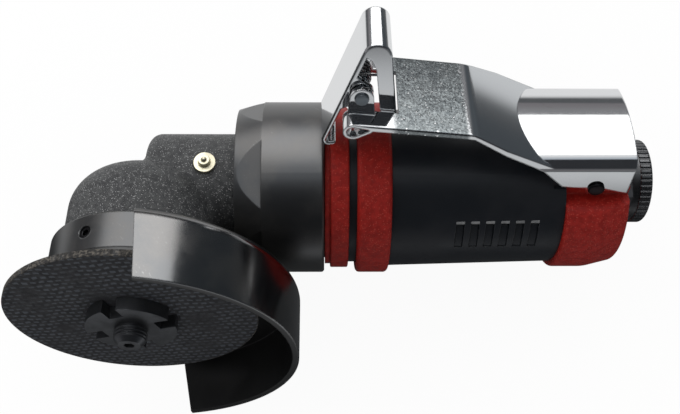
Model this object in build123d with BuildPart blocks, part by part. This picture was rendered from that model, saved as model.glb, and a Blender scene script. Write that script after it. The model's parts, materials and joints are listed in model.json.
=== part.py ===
from build123d import *
import os
from math import atan2, ceil, cos, hypot, pi, radians, sin, sqrt, tan

# An air angle grinder that lies on a table, in millimetres.
# The origin is the centre of the air inlet's mouth. +X runs along the motor towards the inlet,
# +Z is up from the table, and the wheel's face looks towards -Y and up.
# Names that end in _x are measured along the motor, rearwards from the wheel's axis.
# Names that end in _d are measured along the spindle, from the motor's axis towards the wheel.
# Names that end in _h are heights from the motor's axis towards the lever.
# The lever's and the latch's own sizes that end in _rise or _drop are measured from the lever's pin.

# Attitude of the tool on the table
inlet_x = 160.7
inlet_offset = 3.4
lever_angle = 60.0
head_tilt = 25.0

# Clearances
run_gap = 0.05
face_gap = 0.2
free_gap = 0.4

# Cutting wheel, spindle and flanges
wheel_radius = 37.5
wheel_thick = 2.0
flange_stand = 2.0
thread_radius = 4.76
flange_radius = 13.5
inner_flange_thick = 5.0
flange_nut_thick = 4.1
nut_slot_width = 4.6
nut_slot_depth = 5.0
nut_slot_count = 4
nut_slot_turn = 19.0
thread_stand = 3.5
tip_radius = 3.3
tip_length = 1.6
socket_flats = 3.0
socket_depth = 4.0
journal_radius = 5.0
spindle_collar_radius = 7.0
spindle_top_d = 4.3
clip_radius = 7.4
clip_thick = 1.2

# Spindle bearings
spindle_bearing_radius = 13.0
spindle_bearing_width = 8.0
upper_bearing_d = 16.0
bearing_spacing = 3.0
bearing_ring_wall = 2.2
spindle_ball_count = 8
retainer_thick = 3.0
retainer_bore_radius = 8.0
retainer_hole_radius = 1.0
retainer_hole_count = 2

# Bevel gears
tooth_module = 1.25
gear_teeth = 24
pinion_teeth = 12
gear_face = 5.0
tooth_add = 0.8
tooth_ded = 1.3
tooth_sink = 0.3
tooth_fill = 0.68
pressure_angle = 20.0
gear_rim = 4.0
gear_hub_radius = 8.0
pinion_hub_radius = 6.0
pinion_shaft_radius = 3.0
pinion_screw_radius = 3.6
pinion_screw_length = 2.2
pinion_screw_flats = 2.5

# Head casting and grease nipple
head_radius = 24.0
head_top_d = 0.0
head_round = 13.0
head_wall = 3.0
gear_chamber_radius = 17.0
neck_radius = 17.4
neck_front_x = 0.8
neck_round = 4.0
neck_blend = 3.0
neck_flange_radius = 22.4
neck_flange_x = 36.0
neck_flange_thick = 5.0
pinion_bore_radius = 9.7
nipple_x = 20.2
nipple_angle = 73.7
nipple_seat = 0.6
nipple_base_radius = 3.4
nipple_base_rise = 1.5
nipple_tip_radius = 2.0
nipple_tip_rise = 1.7
nipple_shank_radius = 2.4
nipple_shank_depth = 4.0
nipple_ball_radius = 0.9

# Motor shaft and its bearings
shaft_radius = 4.0
shaft_bearing_radius = 11.0
shaft_bearing_width = 7.0
shaft_ball_count = 7
pinion_bearing_x = 20.0
pinion_spacer_wall = 2.5

# Clamp nut
nut_front_x = 30.0
nut_rear_x = 57.3
nut_nose_drop = 2.4
nut_flat_drop = 2.1
nut_flat_length = 8.3
nut_flat_count = 6
nut_rear_chamfer = 0.6

# Motor housing and its rings
snout_radius = 23.0
snout_bore_radius = 10.5
housing_seat_radius = 24.4
housing_front_rise = 1.2
housing_rear_drop = 0.2
housing_bore_radius = 20.5
housing_rear_x = 130.9
narrow_ring_length = 7.4
narrow_ring_lip = 1.7
narrow_ring_lip_wall = 0.6
narrow_ring_wall = 1.8
narrow_ring_round = 0.5
ring_spacing = 2.4
wide_ring_length = 10.5
wide_ring_wall = 3.4
wide_ring_round = 1.4
slot_count = 6
slot_pitch = 4.6
slot_width = 2.6
slot_length = 9.5
slot_centre_x = 110.4
slot_angle = 136.2

# Vane motor
end_plate_thick = 8.0
end_plate_web = 1.0
end_plate_bore_radius = 5.5
liner_length = 40.0
liner_bore_radius = 17.0
liner_offset = 1.6
rotor_radius = 15.2
vane_count = 5
vane_thick = 2.0
vane_depth = 6.8
dowel_radius = 1.2
dowel_circle_radius = 18.0
seal_length = 5.0
seal_front_x = 49.0

# Valve body and throttle valve
valve_body_rear_radius = 16.0
shaft_recess_radius = 6.0
shaft_recess_depth = 2.0
valve_x = 124.0
valve_bore_radius = 4.4
valve_floor_h = -8.0
feed_radius = 2.0
feed_h = -5.2
air_way_radius = 3.6
stem_radius = 1.6
stem_button_radius = 3.0
stem_button_rise = 2.0
stem_button_round = 0.8
stem_travel = 2.1
valve_head_radius = 3.6
valve_head_h = 4.0
valve_head_thick = 2.5
valve_seal_thick = 2.3
valve_bushing_depth = 1.4
valve_spring_radius = 3.4
valve_spring_wall = 1.2

# End cap, lever pin, inlet bushing and regulator ring
cap_rise = 1.6
cap_length = 19.9
cap_rear_wall = 3.9
cap_taper_share = 0.085
cap_taper_length = 9.0
cap_taper_round = 12.0
cap_rear_round = 1.5
cap_front_round = 1.2
cap_flat_share = 0.558
cap_ledge_share = 0.577
cap_ledge_round = 4.0
housing_groove_length = 4.0
pin_x = 139.3
pin_depth = 6.0
pin_radius = 2.0
pin_head_radius = 2.5
pin_head_rise = 0.8
pin_head_round = 0.5
inlet_thread_radius = 9.0
inlet_thread_length = 11.0
inlet_bore_radius = 5.56
inlet_bore_length = 14.5
hex_flats = 26.0
hex_thick = 3.2
inlet_neck_radius = 8.2
ring_sleeve_radius = 13.0
ring_sleeve_length = 2.5
ring_radius = 13.5
ring_round = 0.9
flute_count = 48
flute_radius = 0.45
screen_thick = 0.8
screen_hole_radius = 0.6
screen_circle_radius = 2.2
screen_hole_count = 8

# Guard
collar_radius = 27.0
collar_length = 12.2
collar_chamfer = 0.6
guard_sheet = 2.0
guard_radius = 50.0
guard_depth = 21.4
guard_span = 80.5
guard_near_low_span = 78.4
guard_far_low_span = 75.1
guard_bend = 3.6
guard_bore_radius = 16.5
guard_screw_radius = 2.0
guard_screw_angle = 114.0
guard_screw_flats = 2.0
guard_screw_recess = 0.4
guard_screw_socket = 1.2

# Throttle lever
lever_sheet = 1.6
lever_half = 14.8
lever_front_x = 62.5
lever_front_rise = 26.0
fold_x = 100.2
fold_rise = 21.5
fold_round = 10.0
slope_angle = 26.5
slope_flare_x = 110.0
lever_flange = 2.0
lever_edge_round = 0.5
saddle_crown_rise = 13.9
saddle_crown_radius = 42.0
saddle_corner = 4.6
saddle_rear_x = 149.3
saddle_reach = 44.0
cheek_top_x = 122.2
cheek_top_rise = 7.3
cheek_low_x = 128.8
cheek_low_rise = 0.6
cheek_rear_drop = 2.5
pin_eye_radius = 3.2
roll_radius = 2.9
roll_sheet = 1.0
roll_tail = 4.2
roll_tail_radius = 1.3
lever_slot_half = 8.6
lever_slot_rear_x = 78.4

# Safety latch, its pin and its spring
latch_pin_x = 67.7
latch_pin_rise = 31.3
latch_pin_radius = 1.9
latch_pin_stand = 0.7
ear_thick = 1.5
ear_radius = 3.4
ear_foot_half = 4.0
latch_sheet = 1.5
latch_half = 8.1
latch_foot_x = 56.3
latch_foot_rise = 9.6
latch_toe_length = 3.8
latch_toe_angle = 15.0
latch_apex_x = 73.05
latch_apex_rise = 60.4
latch_ridge_round = 3.3
latch_foot_round = 1.6
latch_heel_x = 77.4
latch_heel_rise = 21.0
latch_cheek_radius = 3.4
latch_cheek_turn = 25.0
latch_cheek_top_rise = 38.0
latch_cheek_low_rise = 25.0
latch_flange = 3.9
latch_flange_rise = 40.5
latch_window_inset = 5.0
latch_window_rise = 43.8
latch_window_round = 2.0
latch_edge_round = 0.6
ridge_steps = 6
spring_wire = 0.8
spring_coil_radius = 2.5
spring_turns = 4
spring_pitch = 1.6
spring_end = 1.6

os.makedirs("parts", exist_ok=True)

# Places that follow from the sizes above
lower_bearing_d = upper_bearing_d + spindle_bearing_width + bearing_spacing
retainer_d = lower_bearing_d + spindle_bearing_width
boss_end_d = retainer_d + retainer_thick
chamber_top_d = head_top_d + head_wall
inner_flange_d = boss_end_d + flange_stand
wheel_top_d = inner_flange_d + inner_flange_thick
wheel_face_d = wheel_top_d + wheel_thick
nut_face_d = wheel_face_d + flange_nut_thick
thread_end_d = nut_face_d + thread_stand
tip_end_d = thread_end_d + tip_length
gear_pitch_radius = tooth_module * gear_teeth / 2
pinion_pitch_radius = tooth_module * pinion_teeth / 2
cone_length = hypot(gear_pitch_radius, pinion_pitch_radius)
gear_shrink = 1 - gear_face / cone_length
root_depth = tooth_ded * tooth_module
gear_root_radius = gear_pitch_radius - root_depth * pinion_pitch_radius / cone_length
gear_root_d = pinion_pitch_radius + root_depth * gear_pitch_radius / cone_length
pinion_root_radius = pinion_pitch_radius - root_depth * gear_pitch_radius / cone_length
pinion_root_x = gear_pitch_radius + root_depth * pinion_pitch_radius / cone_length
gear_top_d = gear_root_d * gear_shrink
pinion_front_x = pinion_root_x * gear_shrink
pinion_screw_x = pinion_front_x - pinion_screw_length
pinion_bore_x = pinion_screw_x - 2 * free_gap
pinion_bearing_rear_x = pinion_bearing_x + shaft_bearing_width
neck_rear_x = neck_flange_x + neck_flange_thick
nut_lip_x = neck_flange_x - face_gap
nut_lip_bore = neck_radius + face_gap
nut_cavity_radius = snout_radius + run_gap
snout_front_x = neck_rear_x + face_gap
housing_front_x = nut_rear_x + face_gap
band_x = housing_front_x + narrow_ring_lip
narrow_ring_rear_x = housing_front_x + narrow_ring_length
wide_ring_x = narrow_ring_rear_x + ring_spacing
wide_ring_rear_x = wide_ring_x + wide_ring_length
front_plate_x = housing_front_x + free_gap
liner_x = front_plate_x + end_plate_thick
rear_plate_x = liner_x + liner_length
rear_plate_rear_x = rear_plate_x + end_plate_thick
rear_bearing_x = rear_plate_x + end_plate_web
motor_radius = housing_bore_radius - run_gap
rotor_x = liner_x + face_gap
rotor_rear_x = rear_plate_x - face_gap
valve_body_x = rear_plate_rear_x + face_gap
nut_radius = housing_seat_radius + wide_ring_wall
nut_nose_radius = nut_radius - nut_nose_drop
nut_flat_apothem = nut_radius - nut_flat_drop
housing_front_radius = housing_seat_radius + housing_front_rise
housing_rear_radius = housing_seat_radius - housing_rear_drop
narrow_ring_lip_radius = housing_seat_radius + narrow_ring_lip_wall
narrow_ring_radius = housing_seat_radius + narrow_ring_wall
wide_ring_radius = housing_seat_radius + wide_ring_wall
cap_radius = housing_seat_radius + cap_rise
cap_rear_radius = cap_radius * (1 - cap_taper_share)
cap_flat_half = cap_radius * cap_flat_share
saddle_half = cap_flat_half + free_gap + lever_sheet
flare_half = saddle_half - face_gap
cap_ledge_h = cap_radius * cap_ledge_share
ledge_round_reach = cap_radius - cap_ledge_round - run_gap
ledge_round_h = cap_ledge_h - cap_ledge_round
ledge_round_p = sqrt(ledge_round_reach**2 - ledge_round_h**2)
ledge_spread = (cap_radius + cap_ledge_round) / ledge_round_reach
valve_bushing_top_h = cap_radius - valve_bushing_depth
pin_h = cap_radius - pin_depth
lever_front_h = pin_h + lever_front_rise
fold_h = pin_h + fold_rise
saddle_crown_h = pin_h + saddle_crown_rise
cheek_top_h = pin_h + cheek_top_rise
latch_pin_h = pin_h + latch_pin_rise
latch_foot_h = pin_h + latch_foot_rise
latch_apex_h = pin_h + latch_apex_rise
latch_heel_h = pin_h + latch_heel_rise
latch_cheek_top_h = pin_h + latch_cheek_top_rise
latch_cheek_low_h = pin_h + latch_cheek_low_rise
cheek_low_h = pin_h + cheek_low_rise
cheek_rear_h = pin_h - cheek_rear_drop
cap_rear_x = housing_rear_x + cap_length
cap_inner_x = cap_rear_x - cap_rear_wall
cap_bore_radius = valve_body_rear_radius + run_gap
inlet_neck_x = cap_rear_x + hex_thick
inlet_thread_x = cap_inner_x - inlet_thread_length
inlet_step_x = inlet_x - inlet_bore_length
ring_x = inlet_neck_x + face_gap
knurl_x = ring_x + ring_sleeve_length
ring_rear_x = inlet_x - face_gap
ring_bore_radius = inlet_neck_radius + run_gap
collar_bottom_d = boss_end_d + face_gap / 2
collar_top_d = collar_bottom_d - collar_length
collar_bore_radius = head_radius + run_gap
guard_low_d = collar_bottom_d + guard_depth
valve_head_top_h = valve_head_h + valve_head_thick
valve_seal_h = valve_head_top_h + free_gap / 4
valve_bushing_h = valve_seal_h + valve_seal_thick
valve_spring_top_h = valve_head_h - stem_travel - face_gap
stem_top_h = saddle_crown_h - lever_sheet - free_gap
stem_bore_radius = stem_radius + run_gap
pin_half = saddle_half + face_gap
slope_end_h = fold_h - (pin_x - fold_x) * tan(radians(slope_angle))
latch_lean = (latch_apex_x - latch_foot_x) / (latch_apex_h - latch_foot_h)
heel_lean = (latch_heel_x - latch_apex_x) / (latch_apex_h - latch_heel_h)
latch_flange_h = pin_h + latch_flange_rise
latch_window_h = pin_h + latch_window_rise
ridge_half = (atan2(latch_lean, 1) + atan2(heel_lean, 1)) / 2
ridge_turn = (atan2(latch_lean, 1) - atan2(heel_lean, 1)) / 2
ridge_reach = latch_ridge_round / sin(ridge_half)
ridge_x = latch_apex_x - ridge_reach * sin(ridge_turn)
ridge_h = latch_apex_h - ridge_reach * cos(ridge_turn)
groove_floor_h = cheek_low_h - stem_travel
lever_fall = atan2(lever_front_h - fold_h, fold_x - lever_front_x)
roll_x = lever_front_x + roll_radius
roll_tail_x = roll_x + roll_tail

# Directions, axes and planes that the pieces are drawn on
rearward = Vector(1, 0, 0)
lever_up = Vector(0, cos(radians(lever_angle)), sin(radians(lever_angle)))
lever_across = rearward.cross(lever_up)
wheelward = Vector(0, -cos(radians(head_tilt)), sin(radians(head_tilt)))
nearward = wheelward.cross(rearward)
inlet_origin = rearward * -inlet_x
origin = inlet_origin - lever_up * inlet_offset
motor_axis = Axis(origin, rearward)
spindle_axis = Axis(origin, wheelward)
inlet_axis = Axis(inlet_origin, rearward)
motor_section = Plane(origin, x_dir=rearward, z_dir=(0, -1, 0))
inlet_section = Plane(inlet_origin, x_dir=rearward, z_dir=(0, -1, 0))
spindle_section = Plane(origin, x_dir=rearward, z_dir=rearward.cross(wheelward))


def across_motor(x):
    """A plane across the motor's axis at x, which looks to the rear."""
    return Plane(origin + rearward * x, x_dir=(0, 1, 0), z_dir=rearward)


def across_inlet(x):
    """A plane across the inlet's axis at x, which looks to the rear."""
    return Plane(inlet_origin + rearward * x, x_dir=(0, 1, 0), z_dir=rearward)


def across_spindle(d):
    """A plane across the spindle at d, which looks towards the wheel."""
    return Plane(origin + wheelward * d, x_dir=rearward, z_dir=wheelward)


def lever_side(p):
    """A plane along the lever, p to the near side of its middle, with x rearwards and y up the lever."""
    return Plane(origin + lever_across * p, x_dir=rearward, z_dir=lever_across)


def across_lever(x):
    """A plane across the lever at x, which looks forwards, with y up the lever."""
    return Plane(origin + rearward * x, x_dir=lever_across, z_dir=-rearward)


def along_lever(x, h):
    """A plane at x and height h, which looks up the lever's direction."""
    return Plane(origin + rearward * x + lever_up * h, x_dir=rearward, z_dir=lever_up)


def around_motor(x, angle, radius):
    """A plane square to the motor's radius, at an angle from +Y to +Z."""
    out = Vector(0, cos(radians(angle)), sin(radians(angle)))
    return Plane(origin + rearward * x + out * radius, x_dir=rearward, z_dir=out)


def corner(x, y):
    """The corner of the open sketch that lies nearest to a point."""
    return vertices().sort_by_distance((x, y))[0]


def lever_top(x):
    """Height of the lever plate's top face at x."""
    return lever_front_h + (fold_h - lever_front_h) * (x - lever_front_x) / (fold_x - lever_front_x)


def latch_leg(h):
    """The point of the latch's front leg at height h."""
    return (latch_foot_x + (h - latch_foot_h) * latch_lean, h)


def latch_back(h, inset):
    """The point of the latch's rear leg at height h, inset from its middle line."""
    return (latch_apex_x + (latch_apex_h - h) * heel_lean - inset, h)


def bearing(name, race_name, plane, bore, outer, width, balls):
    """A ball bearing on a plane: the outer ring with its balls, and the inner ring."""
    ball_radius = (outer - bore) / 2 - bearing_ring_wall - run_gap
    with BuildPart() as ring:
        with BuildSketch(plane):
            Circle(outer)
            Circle(outer - bearing_ring_wall, mode=Mode.SUBTRACT)
        extrude(amount=width)
        with Locations(plane.offset(width / 2)):
            with PolarLocations((bore + outer) / 2, balls):
                Sphere(ball_radius)
    ring.part.label = name
    export_step(ring.part, f"parts/{name}.step")
    with BuildPart() as race:
        with BuildSketch(plane):
            Circle(bore + bearing_ring_wall)
            Circle(bore, mode=Mode.SUBTRACT)
        extrude(amount=width)
    race.part.label = race_name
    export_step(race.part, f"parts/{race_name}.step")


def bevel_tooth(axis, side, pitch_radius, reach):
    """One straight bevel tooth on the given side of its axis, tapered to where the two axes cross."""
    along = (side * pitch_radius + axis * reach).normalized()
    across = (side * reach - axis * pitch_radius).normalized().cross(along)
    half = pi * tooth_module / 4 * tooth_fill
    lean = tan(radians(pressure_angle))
    tip = tooth_add * tooth_module
    root = -(tooth_ded + tooth_sink) * tooth_module
    shape = [
        (-half + root * lean, root),
        (half - root * lean, root),
        (half - tip * lean, tip),
        (-half + tip * lean, tip),
    ]
    with BuildPart() as tooth:
        for scale in (1, gear_shrink):
            with BuildSketch(Plane(origin + along * cone_length * scale, x_dir=across, z_dir=along)):
                Polygon(*[(x * scale, y * scale) for x, y in shape], align=None)
        loft()
    return tooth.part


def lever_outline(inset):
    """Draws the lever's side view in the open sketch, inset from its outer faces."""
    Polygon(
        (lever_front_x, 0),
        (lever_front_x, lever_front_h),
        (fold_x, fold_h),
        (pin_x, slope_end_h),
        (pin_x, 0),
        align=None,
    )
    fillet(corner(fold_x, fold_h), fold_round)
    fillet(corner(lever_front_x, lever_front_h), roll_radius)
    if inset > 0:
        offset(amount=-inset, mode=Mode.REPLACE)


def lever_plan(inset):
    """Draws the lever from above in the open sketch, flared behind its fold, inset from its flanks."""
    front = [(lever_front_x, lever_half - inset), (fold_x, lever_half - inset)]
    rear = [(slope_flare_x, flare_half - inset), (pin_x, flare_half - inset)]
    near = [(x - lever_front_x, p) for x, p in front + rear]
    far = [(x, -p) for x, p in reversed(near)]
    Polygon(*near, *far, align=None)


def roll_outline(inset):
    """Draws the lever's rolled front edge in the open sketch, inset from its outer face."""
    with Locations((roll_x, lever_top(roll_x) - roll_radius / cos(lever_fall))):
        Circle(roll_radius)
    with Locations((roll_tail_x, lever_top(roll_tail_x) - lever_sheet - face_gap)):
        Circle(roll_tail_radius)
    make_hull()
    if inset > 0:
        offset(amount=-inset, mode=Mode.REPLACE)


def saddle_outline(inset):
    """Draws the saddle's section in the open sketch, inset from its outer faces."""
    half = saddle_half - inset
    crown_radius = saddle_crown_radius - inset
    crown_centre = saddle_crown_h - saddle_crown_radius
    shoulder = crown_centre + sqrt(crown_radius**2 - half**2)
    Rectangle(2 * half, saddle_crown_h, align=(Align.CENTER, Align.MIN))
    with Locations((0, crown_centre)):
        Circle(crown_radius, mode=Mode.INTERSECT)
    for side in (-half, half):
        fillet(corner(side, shoulder), saddle_corner - inset)


# Head casting: a turned gear case with a turned neck, bored for the gears and the bearings
with BuildPart() as head_casting:
    with BuildSketch(spindle_section):
        Polygon(
            (0, head_top_d),
            (head_radius, head_top_d),
            (head_radius, boss_end_d),
            (0, boss_end_d),
            align=None,
        )
        fillet(corner(head_radius, head_top_d), head_round)
    revolve(axis=spindle_axis)
    with BuildSketch(motor_section):
        Polygon(
            (neck_front_x, 0),
            (neck_front_x, neck_radius),
            (neck_flange_x, neck_radius),
            (neck_flange_x, neck_flange_radius),
            (neck_rear_x, neck_flange_radius),
            (neck_rear_x, 0),
            align=None,
        )
        fillet(corner(neck_front_x, neck_radius), neck_round)
    revolve(axis=motor_axis)
    fillet(edges(Select.NEW), neck_blend)
    with BuildSketch(spindle_section):
        Polygon(
            (0, chamber_top_d),
            (gear_chamber_radius, chamber_top_d),
            (gear_chamber_radius, upper_bearing_d),
            (spindle_bearing_radius, upper_bearing_d),
            (spindle_bearing_radius, boss_end_d),
            (0, boss_end_d),
            align=None,
        )
    revolve(axis=spindle_axis, mode=Mode.SUBTRACT)
    with BuildSketch(motor_section):
        Polygon(
            (pinion_bore_x, 0),
            (pinion_bore_x, pinion_bore_radius),
            (pinion_bearing_x, pinion_bore_radius),
            (pinion_bearing_x, shaft_bearing_radius),
            (neck_rear_x, shaft_bearing_radius),
            (neck_rear_x, 0),
            align=None,
        )
    revolve(axis=motor_axis, mode=Mode.SUBTRACT)
    with BuildSketch(around_motor(nipple_x, nipple_angle, neck_radius - nipple_seat)):
        Circle(nipple_base_radius)
    extrude(amount=nipple_base_rise, mode=Mode.SUBTRACT)
    with BuildSketch(around_motor(nipple_x, nipple_angle, neck_radius - nipple_seat)):
        Circle(nipple_shank_radius)
    extrude(amount=-nipple_shank_depth, mode=Mode.SUBTRACT)
head_casting.part.label = "head_casting"
export_step(head_casting.part, "parts/head_casting.step")

# Grease nipple in the top of the neck
nipple_seat_plane = around_motor(nipple_x, nipple_angle, neck_radius - nipple_seat)
with BuildPart() as grease_nipple:
    with BuildSketch(nipple_seat_plane):
        Circle(nipple_base_radius)
    extrude(amount=nipple_base_rise)
    with BuildSketch(nipple_seat_plane):
        Circle(nipple_shank_radius)
    extrude(amount=-nipple_shank_depth)
    with BuildSketch(nipple_seat_plane.offset(nipple_base_rise)):
        Circle(nipple_tip_radius)
    extrude(amount=nipple_tip_rise, taper=pressure_angle / 2)
    with Locations(nipple_seat_plane.offset(nipple_base_rise + nipple_tip_rise)):
        Sphere(nipple_ball_radius)
grease_nipple.part.label = "grease_nipple"
export_step(grease_nipple.part, "parts/grease_nipple.step")

# Spindle bearings, the ring between them and the screwed retainer
for place, ring_d in (("upper", upper_bearing_d), ("lower", lower_bearing_d)):
    bearing(
        f"spindle_{place}_bearing",
        f"spindle_{place}_race",
        across_spindle(ring_d),
        journal_radius,
        spindle_bearing_radius,
        spindle_bearing_width,
        spindle_ball_count,
    )

with BuildPart() as bearing_spacer:
    with BuildSketch(across_spindle(lower_bearing_d - bearing_spacing)):
        Circle(spindle_bearing_radius)
        Circle(spindle_bearing_radius - bearing_ring_wall, mode=Mode.SUBTRACT)
    extrude(amount=bearing_spacing)
bearing_spacer.part.label = "bearing_spacer"
export_step(bearing_spacer.part, "parts/bearing_spacer.step")

with BuildPart() as bearing_retainer:
    with BuildSketch(across_spindle(retainer_d)):
        Circle(spindle_bearing_radius)
        Circle(retainer_bore_radius, mode=Mode.SUBTRACT)
        with PolarLocations((retainer_bore_radius + spindle_bearing_radius) / 2, retainer_hole_count):
            Circle(retainer_hole_radius, mode=Mode.SUBTRACT)
    extrude(amount=retainer_thick)
bearing_retainer.part.label = "bearing_retainer"
export_step(bearing_retainer.part, "parts/bearing_retainer.step")

# Motor shaft bearings: behind the pinion, and at each end of the rotor
for place, ring_x_place in (
    ("pinion", pinion_bearing_x),
    ("rotor_front", front_plate_x),
    ("rotor_rear", rear_bearing_x),
):
    bearing(
        f"{place}_bearing",
        f"{place}_race",
        across_motor(ring_x_place),
        shaft_radius,
        shaft_bearing_radius,
        shaft_bearing_width,
        shaft_ball_count,
    )

# Tube that holds the pinion bearing in the neck
with BuildPart() as pinion_spacer:
    with BuildSketch(across_motor(pinion_bearing_rear_x)):
        Circle(shaft_bearing_radius)
        Circle(shaft_bearing_radius - pinion_spacer_wall, mode=Mode.SUBTRACT)
    extrude(amount=neck_rear_x - pinion_bearing_rear_x)
pinion_spacer.part.label = "pinion_spacer"
export_step(pinion_spacer.part, "parts/pinion_spacer.step")

# Spindle with a collar under its lower bearing, a threaded end and a hex socket
with BuildPart() as spindle:
    with BuildSketch(spindle_section):
        Polygon(
            (0, spindle_top_d),
            (journal_radius, spindle_top_d),
            (journal_radius, retainer_d),
            (spindle_collar_radius, retainer_d),
            (spindle_collar_radius, inner_flange_d),
            (thread_radius, inner_flange_d),
            (thread_radius, thread_end_d),
            (tip_radius, tip_end_d),
            (0, tip_end_d),
            align=None,
        )
    revolve(axis=spindle_axis)
    with BuildSketch(across_spindle(tip_end_d)):
        RegularPolygon(socket_flats / 2, 6, major_radius=False)
    extrude(amount=-socket_depth, mode=Mode.SUBTRACT)
spindle.part.label = "spindle"
export_step(spindle.part, "parts/spindle.step")

# Bevel gear on the spindle, with one tooth centred to the rear
gear_tooth = bevel_tooth(wheelward, rearward, gear_pitch_radius, pinion_pitch_radius)
with BuildPart() as driven_gear:
    with BuildSketch(spindle_section):
        Polygon(
            (journal_radius, gear_top_d),
            (gear_root_radius * gear_shrink, gear_top_d),
            (gear_root_radius, gear_root_d),
            (gear_root_radius, gear_root_d + gear_rim),
            (gear_hub_radius, gear_root_d + gear_rim),
            (gear_hub_radius, upper_bearing_d),
            (journal_radius, upper_bearing_d),
            align=None,
        )
    revolve(axis=spindle_axis)
    for turn in range(gear_teeth):
        add(gear_tooth.rotate(spindle_axis, turn * 360 / gear_teeth))
driven_gear.part.label = "driven_gear"
export_step(driven_gear.part, "parts/driven_gear.step")

with BuildPart() as gear_clip:
    with BuildSketch(across_spindle(gear_top_d)):
        Circle(clip_radius)
        Circle(journal_radius, mode=Mode.SUBTRACT)
    extrude(amount=-clip_thick)
gear_clip.part.label = "gear_clip"
export_step(gear_clip.part, "parts/gear_clip.step")

# Inner flange, cutting wheel and slotted flange nut
with BuildPart() as inner_flange:
    with BuildSketch(across_spindle(inner_flange_d)):
        Circle(flange_radius)
        Circle(thread_radius, mode=Mode.SUBTRACT)
    extrude(amount=inner_flange_thick)
inner_flange.part.label = "inner_flange"
export_step(inner_flange.part, "parts/inner_flange.step")

with BuildPart() as cutting_wheel:
    with BuildSketch(across_spindle(wheel_top_d)):
        Circle(wheel_radius)
        Circle(thread_radius + run_gap, mode=Mode.SUBTRACT)
    extrude(amount=wheel_thick)
cutting_wheel.part.label = "cutting_wheel"
export_step(cutting_wheel.part, "parts/cutting_wheel.step")

with BuildPart() as flange_nut:
    with BuildSketch(across_spindle(wheel_face_d)):
        Circle(flange_radius)
    extrude(amount=flange_nut_thick)
    with BuildSketch(across_spindle(wheel_face_d)):
        Circle(thread_radius)
        with PolarLocations(flange_radius, nut_slot_count, start_angle=nut_slot_turn):
            Rectangle(2 * nut_slot_depth, nut_slot_width)
    extrude(amount=flange_nut_thick, mode=Mode.SUBTRACT)
flange_nut.part.label = "flange_nut"
export_step(flange_nut.part, "parts/flange_nut.step")

# Guard: a collar that turns on the head, its set screw and the bent shell
with BuildPart() as guard_collar:
    with BuildSketch(spindle_section):
        Polygon(
            (collar_bore_radius, collar_top_d),
            (collar_radius, collar_top_d),
            (collar_radius, collar_bottom_d),
            (collar_bore_radius, collar_bottom_d),
            align=None,
        )
        chamfer(corner(collar_radius, collar_top_d), collar_chamfer)
    revolve(axis=spindle_axis)
    screw_out = rearward * cos(radians(guard_screw_angle)) + nearward * sin(radians(guard_screw_angle))
    screw_origin = origin + wheelward * (collar_top_d + collar_length / 2)
    screw_plane = Plane(screw_origin + screw_out * collar_radius, x_dir=wheelward, z_dir=screw_out)
    with BuildSketch(screw_plane):
        Circle(guard_screw_radius)
    extrude(amount=collar_bore_radius - collar_radius - free_gap, mode=Mode.SUBTRACT)
guard_collar.part.label = "guard_collar"
export_step(guard_collar.part, "parts/guard_collar.step")

with BuildPart() as guard_screw:
    with BuildSketch(screw_plane.offset(-guard_screw_recess)):
        Circle(guard_screw_radius)
    extrude(amount=collar_bore_radius - collar_radius + guard_screw_recess)
    with BuildSketch(screw_plane.offset(-guard_screw_recess)):
        RegularPolygon(guard_screw_flats / 2, 6, major_radius=False)
    extrude(amount=-guard_screw_socket, mode=Mode.SUBTRACT)
guard_screw.part.label = "guard_screw"
export_step(guard_screw.part, "parts/guard_screw.step")

with BuildPart() as guard_shell:
    with BuildSketch(across_spindle(collar_bottom_d)):
        with BuildLine():
            rim = CenterArc((0, 0), guard_radius, -guard_span, 2 * guard_span)
            Line(rim @ 0, (0, 0))
            Line((0, 0), rim @ 1)
        make_face()
    extrude(amount=guard_depth)
    rim_edges = edges().filter_by(GeomType.CIRCLE).sort_by(spindle_axis)
    fillet(rim_edges[0], guard_bend)
    with BuildSketch(across_spindle(collar_bottom_d + guard_sheet)):
        Circle(guard_radius - guard_sheet)
    extrude(amount=guard_depth, mode=Mode.SUBTRACT)
    for side, low_span in ((1, guard_near_low_span), (-1, guard_far_low_span)):
        edge_out = rearward * cos(radians(guard_span)) + nearward * side * sin(radians(guard_span))
        low_out = rearward * cos(radians(low_span)) + nearward * side * sin(radians(low_span))
        top_point = origin + wheelward * collar_bottom_d
        low_point = origin + wheelward * guard_low_d + low_out * guard_radius
        inward = edge_out.cross(low_point - top_point) * side
        split(bisect_by=Plane(top_point, x_dir=edge_out, z_dir=inward), keep=Keep.TOP)
    with BuildSketch(across_spindle(collar_bottom_d)):
        Circle(collar_radius)
    extrude(amount=guard_sheet)
    with BuildSketch(across_spindle(collar_bottom_d)):
        Circle(guard_bore_radius)
    extrude(amount=guard_sheet, mode=Mode.SUBTRACT)
guard_shell.part.label = "guard_shell"
export_step(guard_shell.part, "parts/guard_shell.step")

# Clamp nut that draws the head's flange against the motor
with BuildPart() as clamp_nut:
    with BuildSketch(motor_section):
        Polygon(
            (nut_front_x, nut_lip_bore),
            (nut_front_x, nut_nose_radius),
            (nut_front_x + nut_flat_length, nut_radius),
            (nut_rear_x, nut_radius),
            (nut_rear_x, nut_cavity_radius),
            (nut_lip_x, nut_cavity_radius),
            (nut_lip_x, nut_lip_bore),
            align=None,
        )
        chamfer(corner(nut_rear_x, nut_radius), nut_rear_chamfer)
    revolve(axis=motor_axis)
    with BuildSketch(across_motor(nut_front_x)):
        Circle(nut_radius + free_gap)
        RegularPolygon(nut_flat_apothem, nut_flat_count, major_radius=False, mode=Mode.SUBTRACT)
    extrude(amount=nut_flat_length, mode=Mode.SUBTRACT)
clamp_nut.part.label = "clamp_nut"
export_step(clamp_nut.part, "parts/clamp_nut.step")

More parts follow.
